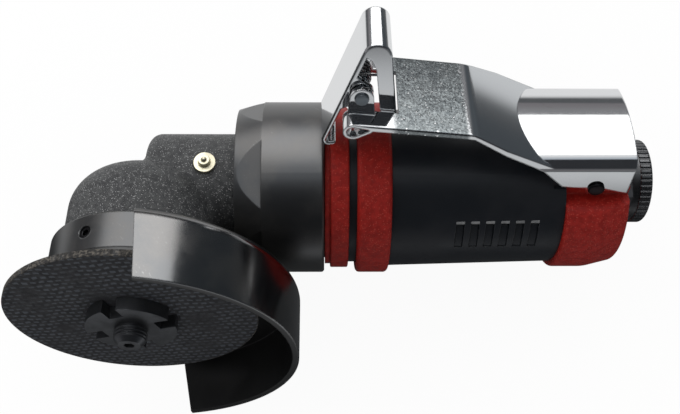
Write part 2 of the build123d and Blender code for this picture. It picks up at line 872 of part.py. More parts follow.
# Motor housing with its exhaust slots, the valve's hole and grooves for the lever's cheeks
with BuildPart() as motor_housing:
    with BuildSketch(motor_section):
        Polygon(
            (snout_front_x, snout_bore_radius),
            (snout_front_x, snout_radius),
            (housing_front_x, snout_radius),
            (housing_front_x, housing_seat_radius),
            (wide_ring_rear_x, housing_seat_radius),
            (wide_ring_rear_x, housing_front_radius),
            (housing_rear_x, housing_rear_radius),
            (housing_rear_x, housing_bore_radius),
            (front_plate_x, housing_bore_radius),
            (front_plate_x, snout_bore_radius),
            align=None,
        )
    revolve(axis=motor_axis)
    with BuildSketch(around_motor(slot_centre_x, slot_angle, housing_bore_radius - slot_width)):
        with GridLocations(slot_pitch, slot_pitch, slot_count, 1):
            Rectangle(slot_width, slot_length)
    extrude(amount=housing_front_radius - housing_bore_radius + 2 * slot_width, mode=Mode.SUBTRACT)
    with BuildSketch(along_lever(valve_x, 0)):
        Circle(valve_bore_radius)
    extrude(amount=housing_front_radius, mode=Mode.SUBTRACT)
    with BuildSketch(across_lever(housing_rear_x)):
        for side in (cap_flat_half, -saddle_half - free_gap):
            with Locations((side, groove_floor_h)):
                Rectangle(lever_sheet + 2 * free_gap, cap_radius, align=Align.MIN)
    extrude(amount=housing_groove_length, mode=Mode.SUBTRACT)
motor_housing.part.label = "motor_housing"
export_step(motor_housing.part, "parts/motor_housing.step")

# Red rings on the front of the housing
with BuildPart() as narrow_ring:
    with BuildSketch(motor_section):
        Polygon(
            (housing_front_x, housing_seat_radius),
            (housing_front_x, narrow_ring_lip_radius),
            (band_x, narrow_ring_lip_radius),
            (band_x, narrow_ring_radius),
            (narrow_ring_rear_x, narrow_ring_radius),
            (narrow_ring_rear_x, housing_seat_radius),
            align=None,
        )
        for place in (band_x, narrow_ring_rear_x):
            fillet(corner(place, narrow_ring_radius), narrow_ring_round)
    revolve(axis=motor_axis)
narrow_ring.part.label = "narrow_ring"
export_step(narrow_ring.part, "parts/narrow_ring.step")

with BuildPart() as wide_ring:
    with BuildSketch(motor_section):
        Polygon(
            (wide_ring_x, housing_seat_radius),
            (wide_ring_x, wide_ring_radius),
            (wide_ring_rear_x, wide_ring_radius),
            (wide_ring_rear_x, housing_seat_radius),
            align=None,
        )
        for place in (wide_ring_x, wide_ring_rear_x):
            fillet(corner(place, wide_ring_radius), wide_ring_round)
    revolve(axis=motor_axis)
wide_ring.part.label = "wide_ring"
export_step(wide_ring.part, "parts/wide_ring.step")

# Shaft seal in the housing's nose
with BuildPart() as shaft_seal:
    with BuildSketch(across_motor(seal_front_x)):
        Circle(snout_bore_radius)
        Circle(shaft_radius + face_gap, mode=Mode.SUBTRACT)
    extrude(amount=seal_length)
shaft_seal.part.label = "shaft_seal"
export_step(shaft_seal.part, "parts/shaft_seal.step")

# End plates, liner and dowel of the vane motor
with BuildPart() as front_end_plate:
    with BuildSketch(motor_section):
        Polygon(
            (front_plate_x, shaft_bearing_radius),
            (front_plate_x, motor_radius),
            (liner_x, motor_radius),
            (liner_x, end_plate_bore_radius),
            (liner_x - end_plate_web, end_plate_bore_radius),
            (liner_x - end_plate_web, shaft_bearing_radius),
            align=None,
        )
    revolve(axis=motor_axis)
    with BuildSketch(across_motor(front_plate_x)):
        with Locations((-dowel_circle_radius, 0)):
            Circle(dowel_radius)
    extrude(amount=end_plate_thick, mode=Mode.SUBTRACT)
front_end_plate.part.label = "front_end_plate"
export_step(front_end_plate.part, "parts/front_end_plate.step")

with BuildPart() as rear_end_plate:
    with BuildSketch(motor_section):
        Polygon(
            (rear_plate_x, end_plate_bore_radius),
            (rear_plate_x, motor_radius),
            (rear_plate_rear_x, motor_radius),
            (rear_plate_rear_x, shaft_bearing_radius),
            (rear_bearing_x, shaft_bearing_radius),
            (rear_bearing_x, end_plate_bore_radius),
            align=None,
        )
    revolve(axis=motor_axis)
    with BuildSketch(across_motor(rear_plate_x)):
        with Locations((-dowel_circle_radius, 0)):
            Circle(dowel_radius)
    extrude(amount=end_plate_thick, mode=Mode.SUBTRACT)
rear_end_plate.part.label = "rear_end_plate"
export_step(rear_end_plate.part, "parts/rear_end_plate.step")

with BuildPart() as cylinder_liner:
    with BuildSketch(across_motor(liner_x)):
        Circle(motor_radius)
        with Locations((liner_offset, 0)):
            Circle(liner_bore_radius, mode=Mode.SUBTRACT)
        with Locations((-dowel_circle_radius, 0)):
            Circle(dowel_radius, mode=Mode.SUBTRACT)
    extrude(amount=liner_length)
cylinder_liner.part.label = "cylinder_liner"
export_step(cylinder_liner.part, "parts/cylinder_liner.step")

with BuildPart() as liner_dowel:
    with BuildSketch(across_motor(front_plate_x)):
        with Locations((-dowel_circle_radius, 0)):
            Circle(dowel_radius)
    extrude(amount=rear_plate_rear_x - front_plate_x)
liner_dowel.part.label = "liner_dowel"
export_step(liner_dowel.part, "parts/liner_dowel.step")

# Rotor on its shaft, with the vanes in their slots
slot_middle_radius = rotor_radius - vane_depth / 2
with BuildPart() as rotor:
    with BuildSketch(motor_section):
        Polygon(
            (pinion_front_x, 0),
            (pinion_front_x, pinion_shaft_radius),
            (pinion_bearing_x, pinion_shaft_radius),
            (pinion_bearing_x, shaft_radius),
            (rotor_x, shaft_radius),
            (rotor_x, rotor_radius),
            (rotor_rear_x, rotor_radius),
            (rotor_rear_x, shaft_radius),
            (rear_plate_rear_x, shaft_radius),
            (rear_plate_rear_x, 0),
            align=None,
        )
    revolve(axis=motor_axis)
    with BuildSketch(across_motor(rotor_x)):
        with PolarLocations(slot_middle_radius, vane_count):
            Rectangle(vane_depth, vane_thick)
    extrude(amount=rotor_rear_x - rotor_x, mode=Mode.SUBTRACT)
rotor.part.label = "rotor"
export_step(rotor.part, "parts/rotor.step")

with BuildPart() as rotor_vanes:
    with BuildSketch(across_motor(rotor_x)):
        with PolarLocations(slot_middle_radius, vane_count):
            Rectangle(vane_depth - 2 * run_gap, vane_thick - 2 * run_gap)
    extrude(amount=rotor_rear_x - rotor_x)
rotor_vanes.part.label = "rotor_vanes"
export_step(rotor_vanes.part, "parts/rotor_vanes.step")

# Pinion on the shaft's nose, with a gap between teeth turned to the gear, and its screw
half_tooth = 180 / pinion_teeth
pinion_tooth = bevel_tooth(rearward, wheelward, pinion_pitch_radius, gear_pitch_radius)
with BuildPart() as pinion:
    with BuildSketch(motor_section):
        Polygon(
            (pinion_front_x, pinion_shaft_radius),
            (pinion_front_x, pinion_root_radius * gear_shrink),
            (pinion_root_x, pinion_root_radius),
            (pinion_root_x, pinion_hub_radius),
            (pinion_bearing_x, pinion_hub_radius),
            (pinion_bearing_x, pinion_shaft_radius),
            align=None,
        )
    revolve(axis=motor_axis)
    for turn in range(pinion_teeth):
        add(pinion_tooth.rotate(motor_axis, half_tooth + turn * 360 / pinion_teeth))
pinion.part.label = "pinion"
export_step(pinion.part, "parts/pinion.step")

with BuildPart() as pinion_screw:
    with BuildSketch(across_motor(pinion_screw_x)):
        Circle(pinion_screw_radius)
        RegularPolygon(pinion_screw_flats / 2, 6, major_radius=False, mode=Mode.SUBTRACT)
    extrude(amount=pinion_screw_length)
pinion_screw.part.label = "pinion_screw"
export_step(pinion_screw.part, "parts/pinion_screw.step")

# Valve body behind the motor, with the throttle's cross bore and the air ways
with BuildPart() as valve_body:
    with BuildSketch(motor_section):
        Polygon(
            (valve_body_x, 0),
            (valve_body_x, motor_radius),
            (housing_rear_x, motor_radius),
            (housing_rear_x, valve_body_rear_radius),
            (cap_inner_x, valve_body_rear_radius),
            (cap_inner_x, 0),
            align=None,
        )
    revolve(axis=motor_axis)
    with BuildSketch(across_motor(valve_body_x)):
        Circle(shaft_recess_radius)
    extrude(amount=shaft_recess_depth, mode=Mode.SUBTRACT)
    with BuildSketch(along_lever(valve_x, valve_floor_h)):
        Circle(valve_bore_radius)
    extrude(amount=motor_radius - valve_floor_h, mode=Mode.SUBTRACT)
    with BuildSketch(across_lever(valve_x)):
        with Locations((0, feed_h)):
            Circle(feed_radius)
    extrude(amount=valve_x - valve_body_x, mode=Mode.SUBTRACT)
    with BuildSketch(across_inlet(valve_x)):
        Circle(air_way_radius)
    extrude(amount=cap_inner_x - valve_x, mode=Mode.SUBTRACT)
    with BuildSketch(across_inlet(inlet_thread_x)):
        Circle(inlet_thread_radius)
    extrude(amount=inlet_thread_length, mode=Mode.SUBTRACT)
valve_body.part.label = "valve_body"
export_step(valve_body.part, "parts/valve_body.step")

# Throttle valve: bushing, seal, stem and spring in the cross bore, the spring at its pressed length
with BuildPart() as valve_bushing:
    with BuildSketch(along_lever(valve_x, valve_bushing_h)):
        Circle(valve_bore_radius)
        Circle(stem_bore_radius, mode=Mode.SUBTRACT)
    extrude(amount=valve_bushing_top_h - valve_bushing_h)
valve_bushing.part.label = "valve_bushing"
export_step(valve_bushing.part, "parts/valve_bushing.step")

with BuildPart() as valve_seal:
    with BuildSketch(along_lever(valve_x, valve_seal_h)):
        Circle(valve_bore_radius)
        Circle(stem_bore_radius, mode=Mode.SUBTRACT)
    extrude(amount=valve_seal_thick)
valve_seal.part.label = "valve_seal"
export_step(valve_seal.part, "parts/valve_seal.step")

with BuildPart() as valve_stem:
    with BuildSketch(along_lever(valve_x, valve_head_h)):
        Circle(valve_head_radius)
    extrude(amount=valve_head_thick)
    with BuildSketch(along_lever(valve_x, valve_head_top_h)):
        Circle(stem_radius)
    extrude(amount=stem_top_h - stem_button_rise - valve_head_top_h)
    with BuildSketch(along_lever(valve_x, stem_top_h - stem_button_rise)):
        Circle(stem_button_radius)
    extrude(amount=stem_button_rise)
    fillet(faces().sort_by(Axis(origin, lever_up))[-1].edges(), stem_button_round)
valve_stem.part.label = "valve_stem"
export_step(valve_stem.part, "parts/valve_stem.step")

with BuildPart() as valve_spring:
    with BuildSketch(along_lever(valve_x, valve_floor_h)):
        Circle(valve_spring_radius)
        Circle(valve_spring_radius - valve_spring_wall, mode=Mode.SUBTRACT)
    extrude(amount=valve_spring_top_h - valve_floor_h)
valve_spring.part.label = "valve_spring"
export_step(valve_spring.part, "parts/valve_spring.step")

# Red end cap with flats and a ledge under the lever's saddle
with BuildPart() as end_cap:
    with BuildSketch(motor_section):
        Polygon(
            (housing_rear_x, cap_bore_radius),
            (housing_rear_x, cap_radius),
            (cap_rear_x - cap_taper_length, cap_radius),
            (cap_rear_x, cap_rear_radius),
            (cap_rear_x, 0),
            (cap_inner_x, 0),
            (cap_inner_x, cap_bore_radius),
            align=None,
        )
        fillet(corner(cap_rear_x - cap_taper_length, cap_radius), cap_taper_round)
        fillet(corner(cap_rear_x, cap_rear_radius), cap_rear_round)
        fillet(corner(housing_rear_x, cap_radius), cap_front_round)
    revolve(axis=motor_axis)
    with BuildSketch(across_inlet(cap_inner_x)):
        Circle(inlet_thread_radius + run_gap)
    extrude(amount=cap_rear_wall, mode=Mode.SUBTRACT)
    with BuildSketch(across_lever(cap_rear_x)):
        for side in (-1, 1):
            Polygon(
                (side * cap_flat_half, cap_ledge_h),
                (side * ledge_round_p, cap_ledge_h),
                (side * ledge_round_p, ledge_round_h),
                (side * ledge_round_p * ledge_spread, ledge_round_h * ledge_spread),
                (side * cap_radius, cap_radius),
                (side * cap_flat_half, cap_radius),
                align=None,
            )
        with Locations((-ledge_round_p, ledge_round_h), (ledge_round_p, ledge_round_h)):
            Circle(cap_ledge_round, mode=Mode.SUBTRACT)
    extrude(amount=cap_length, mode=Mode.SUBTRACT)
    with BuildSketch(lever_side(0)):
        with Locations((pin_x, pin_h)):
            Circle(pin_radius)
    extrude(amount=cap_radius, both=True, mode=Mode.SUBTRACT)
end_cap.part.label = "end_cap"
export_step(end_cap.part, "parts/end_cap.step")

# Lever pin with a round head at each end
with BuildPart() as lever_pin:
    with BuildSketch(lever_side(0)):
        with Locations((pin_x, pin_h)):
            Circle(pin_radius)
    extrude(amount=pin_half, both=True)
    for side in (1, -1):
        with BuildSketch(lever_side(side * pin_half)):
            with Locations((pin_x, pin_h)):
                Circle(pin_head_radius)
        extrude(amount=side * pin_head_rise)
    for end in (0, -1):
        fillet(faces().sort_by(Axis(origin, lever_across))[end].edges(), pin_head_round)
lever_pin.part.label = "lever_pin"
export_step(lever_pin.part, "parts/lever_pin.step")

# Air inlet bushing with its hex, and the screen in its air way
with BuildPart() as inlet_bushing:
    with BuildSketch(inlet_section):
        Polygon(
            (inlet_thread_x, 0),
            (inlet_thread_x, inlet_thread_radius),
            (cap_rear_x, inlet_thread_radius),
            (cap_rear_x, inlet_neck_radius),
            (inlet_x, inlet_neck_radius),
            (inlet_x, 0),
            align=None,
        )
    revolve(axis=inlet_axis)
    with BuildSketch(across_inlet(cap_rear_x)):
        RegularPolygon(hex_flats / 2, 6, major_radius=False)
    extrude(amount=hex_thick)
    with BuildSketch(inlet_section):
        Polygon(
            (inlet_thread_x, 0),
            (inlet_thread_x, air_way_radius),
            (inlet_step_x, air_way_radius),
            (inlet_step_x, inlet_bore_radius),
            (inlet_x, inlet_bore_radius),
            (inlet_x, 0),
            align=None,
        )
    revolve(axis=inlet_axis, mode=Mode.SUBTRACT)
inlet_bushing.part.label = "inlet_bushing"
export_step(inlet_bushing.part, "parts/inlet_bushing.step")

with BuildPart() as inlet_screen:
    with BuildSketch(across_inlet(inlet_step_x)):
        Circle(air_way_radius)
        Circle(screen_hole_radius, mode=Mode.SUBTRACT)
        with PolarLocations(screen_circle_radius, screen_hole_count):
            Circle(screen_hole_radius, mode=Mode.SUBTRACT)
    extrude(amount=-screen_thick)
inlet_screen.part.label = "inlet_screen"
export_step(inlet_screen.part, "parts/inlet_screen.step")

# Regulator ring with a smooth sleeve and a fluted rim
with BuildPart() as regulator_ring:
    with BuildSketch(inlet_section):
        Polygon(
            (ring_x, ring_bore_radius),
            (ring_x, ring_sleeve_radius),
            (knurl_x, ring_sleeve_radius),
            (knurl_x, ring_radius),
            (ring_rear_x, ring_radius),
            (ring_rear_x, ring_bore_radius),
            align=None,
        )
        fillet(corner(ring_rear_x, ring_radius), ring_round)
    revolve(axis=inlet_axis)
    with BuildSketch(across_inlet(knurl_x)):
        with PolarLocations(ring_radius, flute_count):
            Circle(flute_radius)
    extrude(amount=ring_rear_x - knurl_x, mode=Mode.SUBTRACT)
regulator_ring.part.label = "regulator_ring"
export_step(regulator_ring.part, "parts/regulator_ring.step")

# Hollow under the lever's plate and slope
with BuildPart() as lever_hollow:
    with BuildSketch(lever_side(0)):
        lever_outline(lever_sheet)
    extrude(amount=flare_half, both=True)
    with BuildSketch(along_lever(lever_front_x, 0)):
        lever_plan(lever_sheet)
    extrude(amount=lever_front_h, mode=Mode.INTERSECT)

# Throttle lever, one bent sheet: a plate, a flared slope and a saddle over the end cap
with BuildPart() as throttle_lever:
    with BuildSketch(lever_side(0)):
        lever_outline(0)
    extrude(amount=flare_half, both=True)
    with BuildSketch(along_lever(lever_front_x, 0)):
        lever_plan(0)
    extrude(amount=lever_front_h, mode=Mode.INTERSECT)
    high_edges = edges().filter_by(lambda e: (e @ 0.5 - origin).dot(lever_up) > cheek_top_h)
    flank = lever_half - run_gap
    flank_edges = high_edges.filter_by(lambda e: abs((e @ 0.5 - origin).dot(lever_across)) > flank)
    fillet(flank_edges, lever_edge_round)
    with BuildSketch(across_lever(saddle_rear_x)):
        saddle_outline(0)
    extrude(amount=saddle_reach)
    add(lever_hollow.part, mode=Mode.SUBTRACT)
    with BuildSketch(across_lever(saddle_rear_x)):
        saddle_outline(lever_sheet)
    extrude(amount=saddle_reach, mode=Mode.SUBTRACT)
    with BuildSketch(lever_side(0)):
        Polygon(
            (lever_front_x - free_gap, -cap_radius),
            (lever_front_x - free_gap, lever_top(lever_front_x) - lever_flange),
            (fold_x, fold_h - lever_flange),
            (cheek_top_x, cheek_top_h),
            (cheek_low_x, cheek_low_h),
            (saddle_rear_x + free_gap, cheek_rear_h),
            (saddle_rear_x + free_gap, -cap_radius),
            align=None,
        )
    extrude(amount=saddle_half + free_gap, both=True, mode=Mode.SUBTRACT)
    for side in (saddle_half - lever_sheet, -saddle_half):
        with BuildSketch(lever_side(side)):
            with Locations((pin_x, pin_h)):
                Circle(pin_eye_radius)
        extrude(amount=lever_sheet)
    with BuildSketch(lever_side(0)):
        with Locations((pin_x, pin_h)):
            Circle(pin_radius + run_gap)
    extrude(amount=saddle_half, both=True, mode=Mode.SUBTRACT)
    with BuildSketch(lever_side(0)):
        roll_outline(0)
    extrude(amount=lever_half, both=True)
    with BuildSketch(lever_side(0)):
        roll_outline(roll_sheet)
    extrude(amount=lever_half, both=True, mode=Mode.SUBTRACT)
    with BuildSketch(along_lever(lever_front_x - free_gap, 0)):
        slot_run = lever_slot_rear_x - lever_front_x + free_gap
        Rectangle(slot_run, 2 * lever_slot_half, align=(Align.MIN, Align.CENTER))
    extrude(amount=lever_front_h + lever_sheet, mode=Mode.SUBTRACT)
    ear_low_h = lever_top(latch_pin_x + ear_foot_half) - lever_sheet
    for side in (lever_slot_half, -lever_slot_half - ear_thick):
        with BuildSketch(lever_side(side)):
            Polygon(
                (latch_pin_x - ear_foot_half, ear_low_h),
                (latch_pin_x + ear_foot_half, ear_low_h),
                (latch_pin_x + ear_radius, latch_pin_h),
                (latch_pin_x - ear_radius, latch_pin_h),
                align=None,
            )
            with Locations((latch_pin_x, latch_pin_h)):
                Circle(ear_radius)
                Circle(latch_pin_radius, mode=Mode.SUBTRACT)
        extrude(amount=ear_thick)
throttle_lever.part.label = "throttle_lever"
export_step(throttle_lever.part, "parts/throttle_lever.step")

# Pin that carries the latch between the lever's ears
with BuildPart() as latch_pin:
    with BuildSketch(lever_side(0)):
        with Locations((latch_pin_x, latch_pin_h)):
            Circle(latch_pin_radius)
    extrude(amount=lever_slot_half + ear_thick + latch_pin_stand, both=True)
latch_pin.part.label = "latch_pin"
export_step(latch_pin.part, "parts/latch_pin.step")

# Safety latch, a strip bent into a tent with a cheek at each side of its pin
toe_x = latch_foot_x + latch_toe_length * cos(radians(latch_toe_angle))
toe_h = latch_foot_h + latch_toe_length * sin(radians(latch_toe_angle))
with BuildPart() as safety_latch:
    with BuildSketch(lever_side(0)):
        with BuildLine():
            FilletPolyline(
                (toe_x, toe_h),
                (latch_foot_x, latch_foot_h),
                (latch_apex_x, latch_apex_h),
                (latch_heel_x, latch_heel_h),
                radius=[latch_foot_round, latch_ridge_round],
            )
            offset(amount=latch_sheet / 2)
        make_face()
    extrude(amount=latch_half, both=True)
    turns = [pi * step / ridge_steps for step in range(1, ridge_steps)]
    ridge = [(ridge_x + latch_ridge_round * cos(t), ridge_h + latch_ridge_round * sin(t)) for t in turns]
    for side in (latch_half - latch_sheet, -latch_half):
        with BuildSketch(lever_side(side)):
            Polygon(
                latch_back(latch_heel_h, 0),
                *ridge,
                latch_leg(ridge_h),
                latch_back(latch_window_h, latch_window_inset),
                latch_back(latch_flange_h, latch_flange),
                latch_back(latch_heel_h, latch_flange),
                align=None,
            )
            for place in ((latch_window_h, latch_window_inset), (latch_flange_h, latch_flange)):
                fillet(corner(*latch_back(*place)), latch_window_round)
        extrude(amount=latch_sheet)
    cheek_end_x = latch_pin_x + latch_cheek_radius * cos(radians(latch_cheek_turn))
    cheek_end_h = latch_pin_h + latch_cheek_radius * sin(radians(latch_cheek_turn))
    for side in (latch_half - latch_sheet, -latch_half):
        with BuildSketch(lever_side(side)):
            Polygon(
                latch_leg(latch_cheek_top_h),
                latch_leg(latch_cheek_low_h),
                (latch_pin_x, latch_pin_h - latch_cheek_radius),
                (cheek_end_x, cheek_end_h),
                align=None,
            )
            with Locations((latch_pin_x, latch_pin_h)):
                Circle(latch_cheek_radius)
        extrude(amount=latch_sheet)
    with BuildSketch(lever_side(0)):
        with Locations((latch_pin_x, latch_pin_h)):
            Circle(latch_pin_radius + run_gap)
    extrude(amount=latch_half, both=True, mode=Mode.SUBTRACT)
    for side in (-latch_half, latch_half):
        outside = [
            latch_back((latch_heel_h + ridge_h) / 2, -latch_sheet / 2),
            (ridge_x, ridge_h + latch_ridge_round + latch_sheet / 2),
            (latch_leg((latch_heel_h + ridge_h) / 2)[0] - latch_sheet / 2, (latch_heel_h + ridge_h) / 2),
        ]
        places = [origin + rearward * x + lever_up * h + lever_across * side for x, h in outside]
        fillet([edges().sort_by_distance(place)[0] for place in places], latch_edge_round)
safety_latch.part.label = "safety_latch"
export_step(safety_latch.part, "parts/safety_latch.step")

# Latch spring: turns round the pin, with one end on the rear leg and one on the front leg
heel_run = Vector(latch_apex_x - latch_heel_x, latch_apex_h - latch_heel_h).normalized()
heel_out = Vector(heel_run.Y, -heel_run.X)
heel_reach = (Vector(latch_heel_x - latch_pin_x, latch_heel_h - latch_pin_h)).dot(heel_out)
leg_length = heel_reach - latch_sheet / 2 - spring_wire / 2 - face_gap
leg_angle = atan2(heel_out.Y, heel_out.X) + pi / 2
spring_quarters = 4 * spring_turns


def spring_point(quarter):
    """A point on the spring's coil, counted in quarter turns from its first end."""
    angle = leg_angle + (spring_quarters - quarter) * pi / 2
    x = latch_pin_x + spring_coil_radius * cos(angle)
    h = latch_pin_h + spring_coil_radius * sin(angle)
    p = (quarter / spring_quarters - 0.5) * spring_turns * spring_pitch
    return origin + rearward * x + lever_up * h + lever_across * p


def spring_run(quarter):
    """The coil's direction at such a point."""
    angle = leg_angle + (spring_quarters - quarter) * pi / 2
    around = rearward * sin(angle) - lever_up * cos(angle)
    return (around * 2 * pi * spring_coil_radius + lever_across * spring_pitch).normalized()


def biarc_joint(start, start_run, end, end_run):
    """The point where two equal arcs meet between two points with given directions."""
    chord = end - start
    both = start_run + end_run
    square = both.dot(both) - 4
    linear = -2 * chord.dot(both)
    reach = (-linear - sqrt(linear**2 - 4 * square * chord.dot(chord))) / (2 * square)
    return (start + start_run * reach + end - end_run * reach) * 0.5


with BuildPart() as latch_spring:
    with BuildLine() as spring_path:
        first = spring_point(0)
        Line(first - spring_run(0) * spring_end, first)
        for quarter in range(spring_quarters):
            here = spring_point(quarter)
            there = spring_point(quarter + 1)
            joint = biarc_joint(here, spring_run(quarter), there, spring_run(quarter + 1))
            near_arc = TangentArc(here, joint, tangent=spring_run(quarter))
            TangentArc(joint, there, tangent=near_arc % 1)
        last = spring_point(spring_quarters)
        Line(last, last + spring_run(spring_quarters) * leg_length)
    with BuildSketch(Plane(spring_path.wire() @ 0, z_dir=spring_path.wire() % 0)):
        Circle(spring_wire / 2)
    sweep()
latch_spring.part.label = "latch_spring"
export_step(latch_spring.part, "parts/latch_spring.step")

# The spring's least gap to itself, measured on points along its path
spring_wire_path = spring_path.wire()
sample_count = ceil(spring_wire_path.length / (spring_wire / 2))
samples = [spring_wire_path @ (index / sample_count) for index in range(sample_count + 1)]
apart = ceil(pi * spring_coil_radius / (spring_wire / 2))
least_gap = min(
    (samples[late] - samples[early]).length
    for early in range(sample_count + 1)
    for late in range(early + apart, sample_count + 1)
)
print(f"latch spring: least gap to itself {least_gap - spring_wire:.2f} mm")
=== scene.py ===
import json
import math

import bmesh
import bpy
from mathutils import Matrix, Vector


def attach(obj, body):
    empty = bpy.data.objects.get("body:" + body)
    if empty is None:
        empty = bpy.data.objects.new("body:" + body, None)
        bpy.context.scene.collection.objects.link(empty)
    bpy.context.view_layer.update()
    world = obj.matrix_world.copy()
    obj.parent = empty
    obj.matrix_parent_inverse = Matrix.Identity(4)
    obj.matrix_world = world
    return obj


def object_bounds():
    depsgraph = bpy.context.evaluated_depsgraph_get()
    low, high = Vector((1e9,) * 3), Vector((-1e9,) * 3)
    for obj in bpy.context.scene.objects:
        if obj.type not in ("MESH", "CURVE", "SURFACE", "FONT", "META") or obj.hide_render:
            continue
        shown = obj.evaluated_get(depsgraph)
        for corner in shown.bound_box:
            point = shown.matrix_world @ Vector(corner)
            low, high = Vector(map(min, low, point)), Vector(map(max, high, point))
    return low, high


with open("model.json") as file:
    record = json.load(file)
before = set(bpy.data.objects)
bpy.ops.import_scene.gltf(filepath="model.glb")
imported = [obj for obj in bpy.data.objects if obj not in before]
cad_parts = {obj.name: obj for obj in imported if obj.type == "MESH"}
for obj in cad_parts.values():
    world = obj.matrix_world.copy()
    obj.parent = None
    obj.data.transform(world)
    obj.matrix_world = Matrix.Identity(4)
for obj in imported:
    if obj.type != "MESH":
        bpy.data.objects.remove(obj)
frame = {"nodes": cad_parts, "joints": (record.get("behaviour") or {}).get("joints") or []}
cad_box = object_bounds()
nodes = frame["nodes"]
joints = {joint["name"]: joint for joint in frame["joints"]}

# Directions and places of the tool, in metres
rearward = Vector((1, 0, 0))
wheelward = Vector(joints["spindle_spin"]["axis"])
nearward = wheelward.cross(rearward)
lever_up = -Vector(joints["valve_push"]["axis"])
head_centre = Vector(joints["spindle_spin"]["pos_m"])
inlet_centre = Vector(joints["regulator_turn"]["pos_m"])
latch_place = head_centre.x + 0.0770
fold_place = head_centre.x + 0.0984
middle = Vector((-0.09, 0.0, 0.0))
table_height = cad_box[0].z

# Sizes of the wheel, the guard, the threads and the exhaust slots, in metres
wheel_radius = 0.0375
net_row = 0.0022
net_step = 0.0025
guard_face_radius = 0.0497
spindle_thread_radius = 0.00476
inlet_thread_radius = 0.00556
slot_middle = 0.1104
slot_pitch = 0.0046
slot_count = 6
slot_angle = math.radians(136.2)
slot_out = Vector((0, math.cos(slot_angle), math.sin(slot_angle)))
slot_over = rearward.cross(slot_out)


# Camera at the photograph's viewing angle, for a picture of 680 by 414
def place_camera():
    tilt = math.radians(7.7)
    turn = math.radians(1.09)
    up = Vector((0, math.cos(tilt), math.sin(tilt)))
    towards = Vector((0, -math.sin(tilt), math.cos(tilt)))
    right = rearward * math.cos(turn) + towards * math.sin(turn)
    back = towards * math.cos(turn) - rearward * math.sin(turn)
    place = head_centre + rearward * 0.0570 - up * 0.0065 + towards * 0.2902
    data = bpy.data.cameras.new("camera")
    data.sensor_fit = "HORIZONTAL"
    data.sensor_width = 36.0
    data.lens = 46.63
    data.clip_start = 0.01
    camera = bpy.data.objects.new("camera", data)
    axes = Matrix((right, up, back)).transposed()
    camera.matrix_world = Matrix.Translation(place) @ axes.to_4x4()
    bpy.context.scene.collection.objects.link(camera)
    bpy.context.scene.camera = camera


# Small tools for node trees
def add_node(tree, kind, inputs=None, **settings):
    node = tree.nodes.new(kind)
    for name, value in settings.items():
        setattr(node, name, value)
    for name, value in (inputs or {}).items():
        if isinstance(value, bpy.types.NodeSocket):
            tree.links.new(value, node.inputs[name])
        else:
            node.inputs[name].default_value = value
    return node


def maths(tree, operation, *values, clamp=False):
    inputs = dict(enumerate(values))
    return add_node(tree, "ShaderNodeMath", inputs, operation=operation, use_clamp=clamp).outputs[0]


def vector_maths(tree, operation, *values, result="Vector"):
    inputs = dict(enumerate(values))
    return add_node(tree, "ShaderNodeVectorMath", inputs, operation=operation).outputs[result]


def ranged(tree, value, low, high, first=0.0, last=1.0, smooth=True):
    inputs = {"Value": value, "From Min": low, "From Max": high, "To Min": first, "To Max": last}
    kind = "SMOOTHSTEP" if smooth else "LINEAR"
    return add_node(tree, "ShaderNodeMapRange", inputs, interpolation_type=kind).outputs["Result"]


def mixed(tree, share, first, second):
    inputs = {0: share, 6: first, 7: second}
    return add_node(tree, "ShaderNodeMix", inputs, data_type="RGBA").outputs[2]


def noise(tree, place, scale, detail=3.0, roughness=0.55):
    inputs = {"Vector": place, "Scale": scale, "Detail": detail, "Roughness": roughness}
    return add_node(tree, "ShaderNodeTexNoise", inputs).outputs["Fac"]


def surface_place(tree):
    return add_node(tree, "ShaderNodeTexCoord").outputs["Object"]


def leaned(tree, normal, direction, amount):
    """The normal, leaned over along a direction."""
    inputs = {0: direction, "Scale": amount}
    shift = add_node(tree, "ShaderNodeVectorMath", inputs, operation="SCALE").outputs[0]
    return vector_maths(tree, "NORMALIZE", vector_maths(tree, "ADD", normal, shift))


# Effects that several finishes share
def new_effect(name, inputs, outputs):
    tree = bpy.data.node_groups.new(name, "ShaderNodeTree")
    for label, kind, value in inputs:
        socket = tree.interface.new_socket(label, in_out="INPUT", socket_type=kind)
        socket.default_value = value
    for label, kind in outputs:
        tree.interface.new_socket(label, in_out="OUTPUT", socket_type=kind)
    enter = tree.nodes.new("NodeGroupInput")
    leave = tree.nodes.new("NodeGroupOutput")
    return tree, enter.outputs, leave.inputs


def make_edge_wear():
    inputs = [("Width", "NodeSocketFloat", 0.0005), ("Breakup", "NodeSocketFloat", 700.0)]
    outputs = [("Mask", "NodeSocketFloat"), ("Normal", "NodeSocketVector")]
    tree, given, result = new_effect("edge_wear", inputs, outputs)
    rounded = add_node(tree, "ShaderNodeBevel", {"Radius": given["Width"]}, samples=6)
    true_normal = add_node(tree, "ShaderNodeNewGeometry").outputs["Normal"]
    square = vector_maths(tree, "DOT_PRODUCT", rounded.outputs[0], true_normal, result="Value")
    edge = ranged(tree, square, 0.985, 0.80)
    patchy = ranged(tree, noise(tree, surface_place(tree), given["Breakup"], 4.0), 0.35, 0.62)
    tree.links.new(maths(tree, "MULTIPLY", edge, patchy), result["Mask"])
    tree.links.new(rounded.outputs[0], result["Normal"])
    return tree


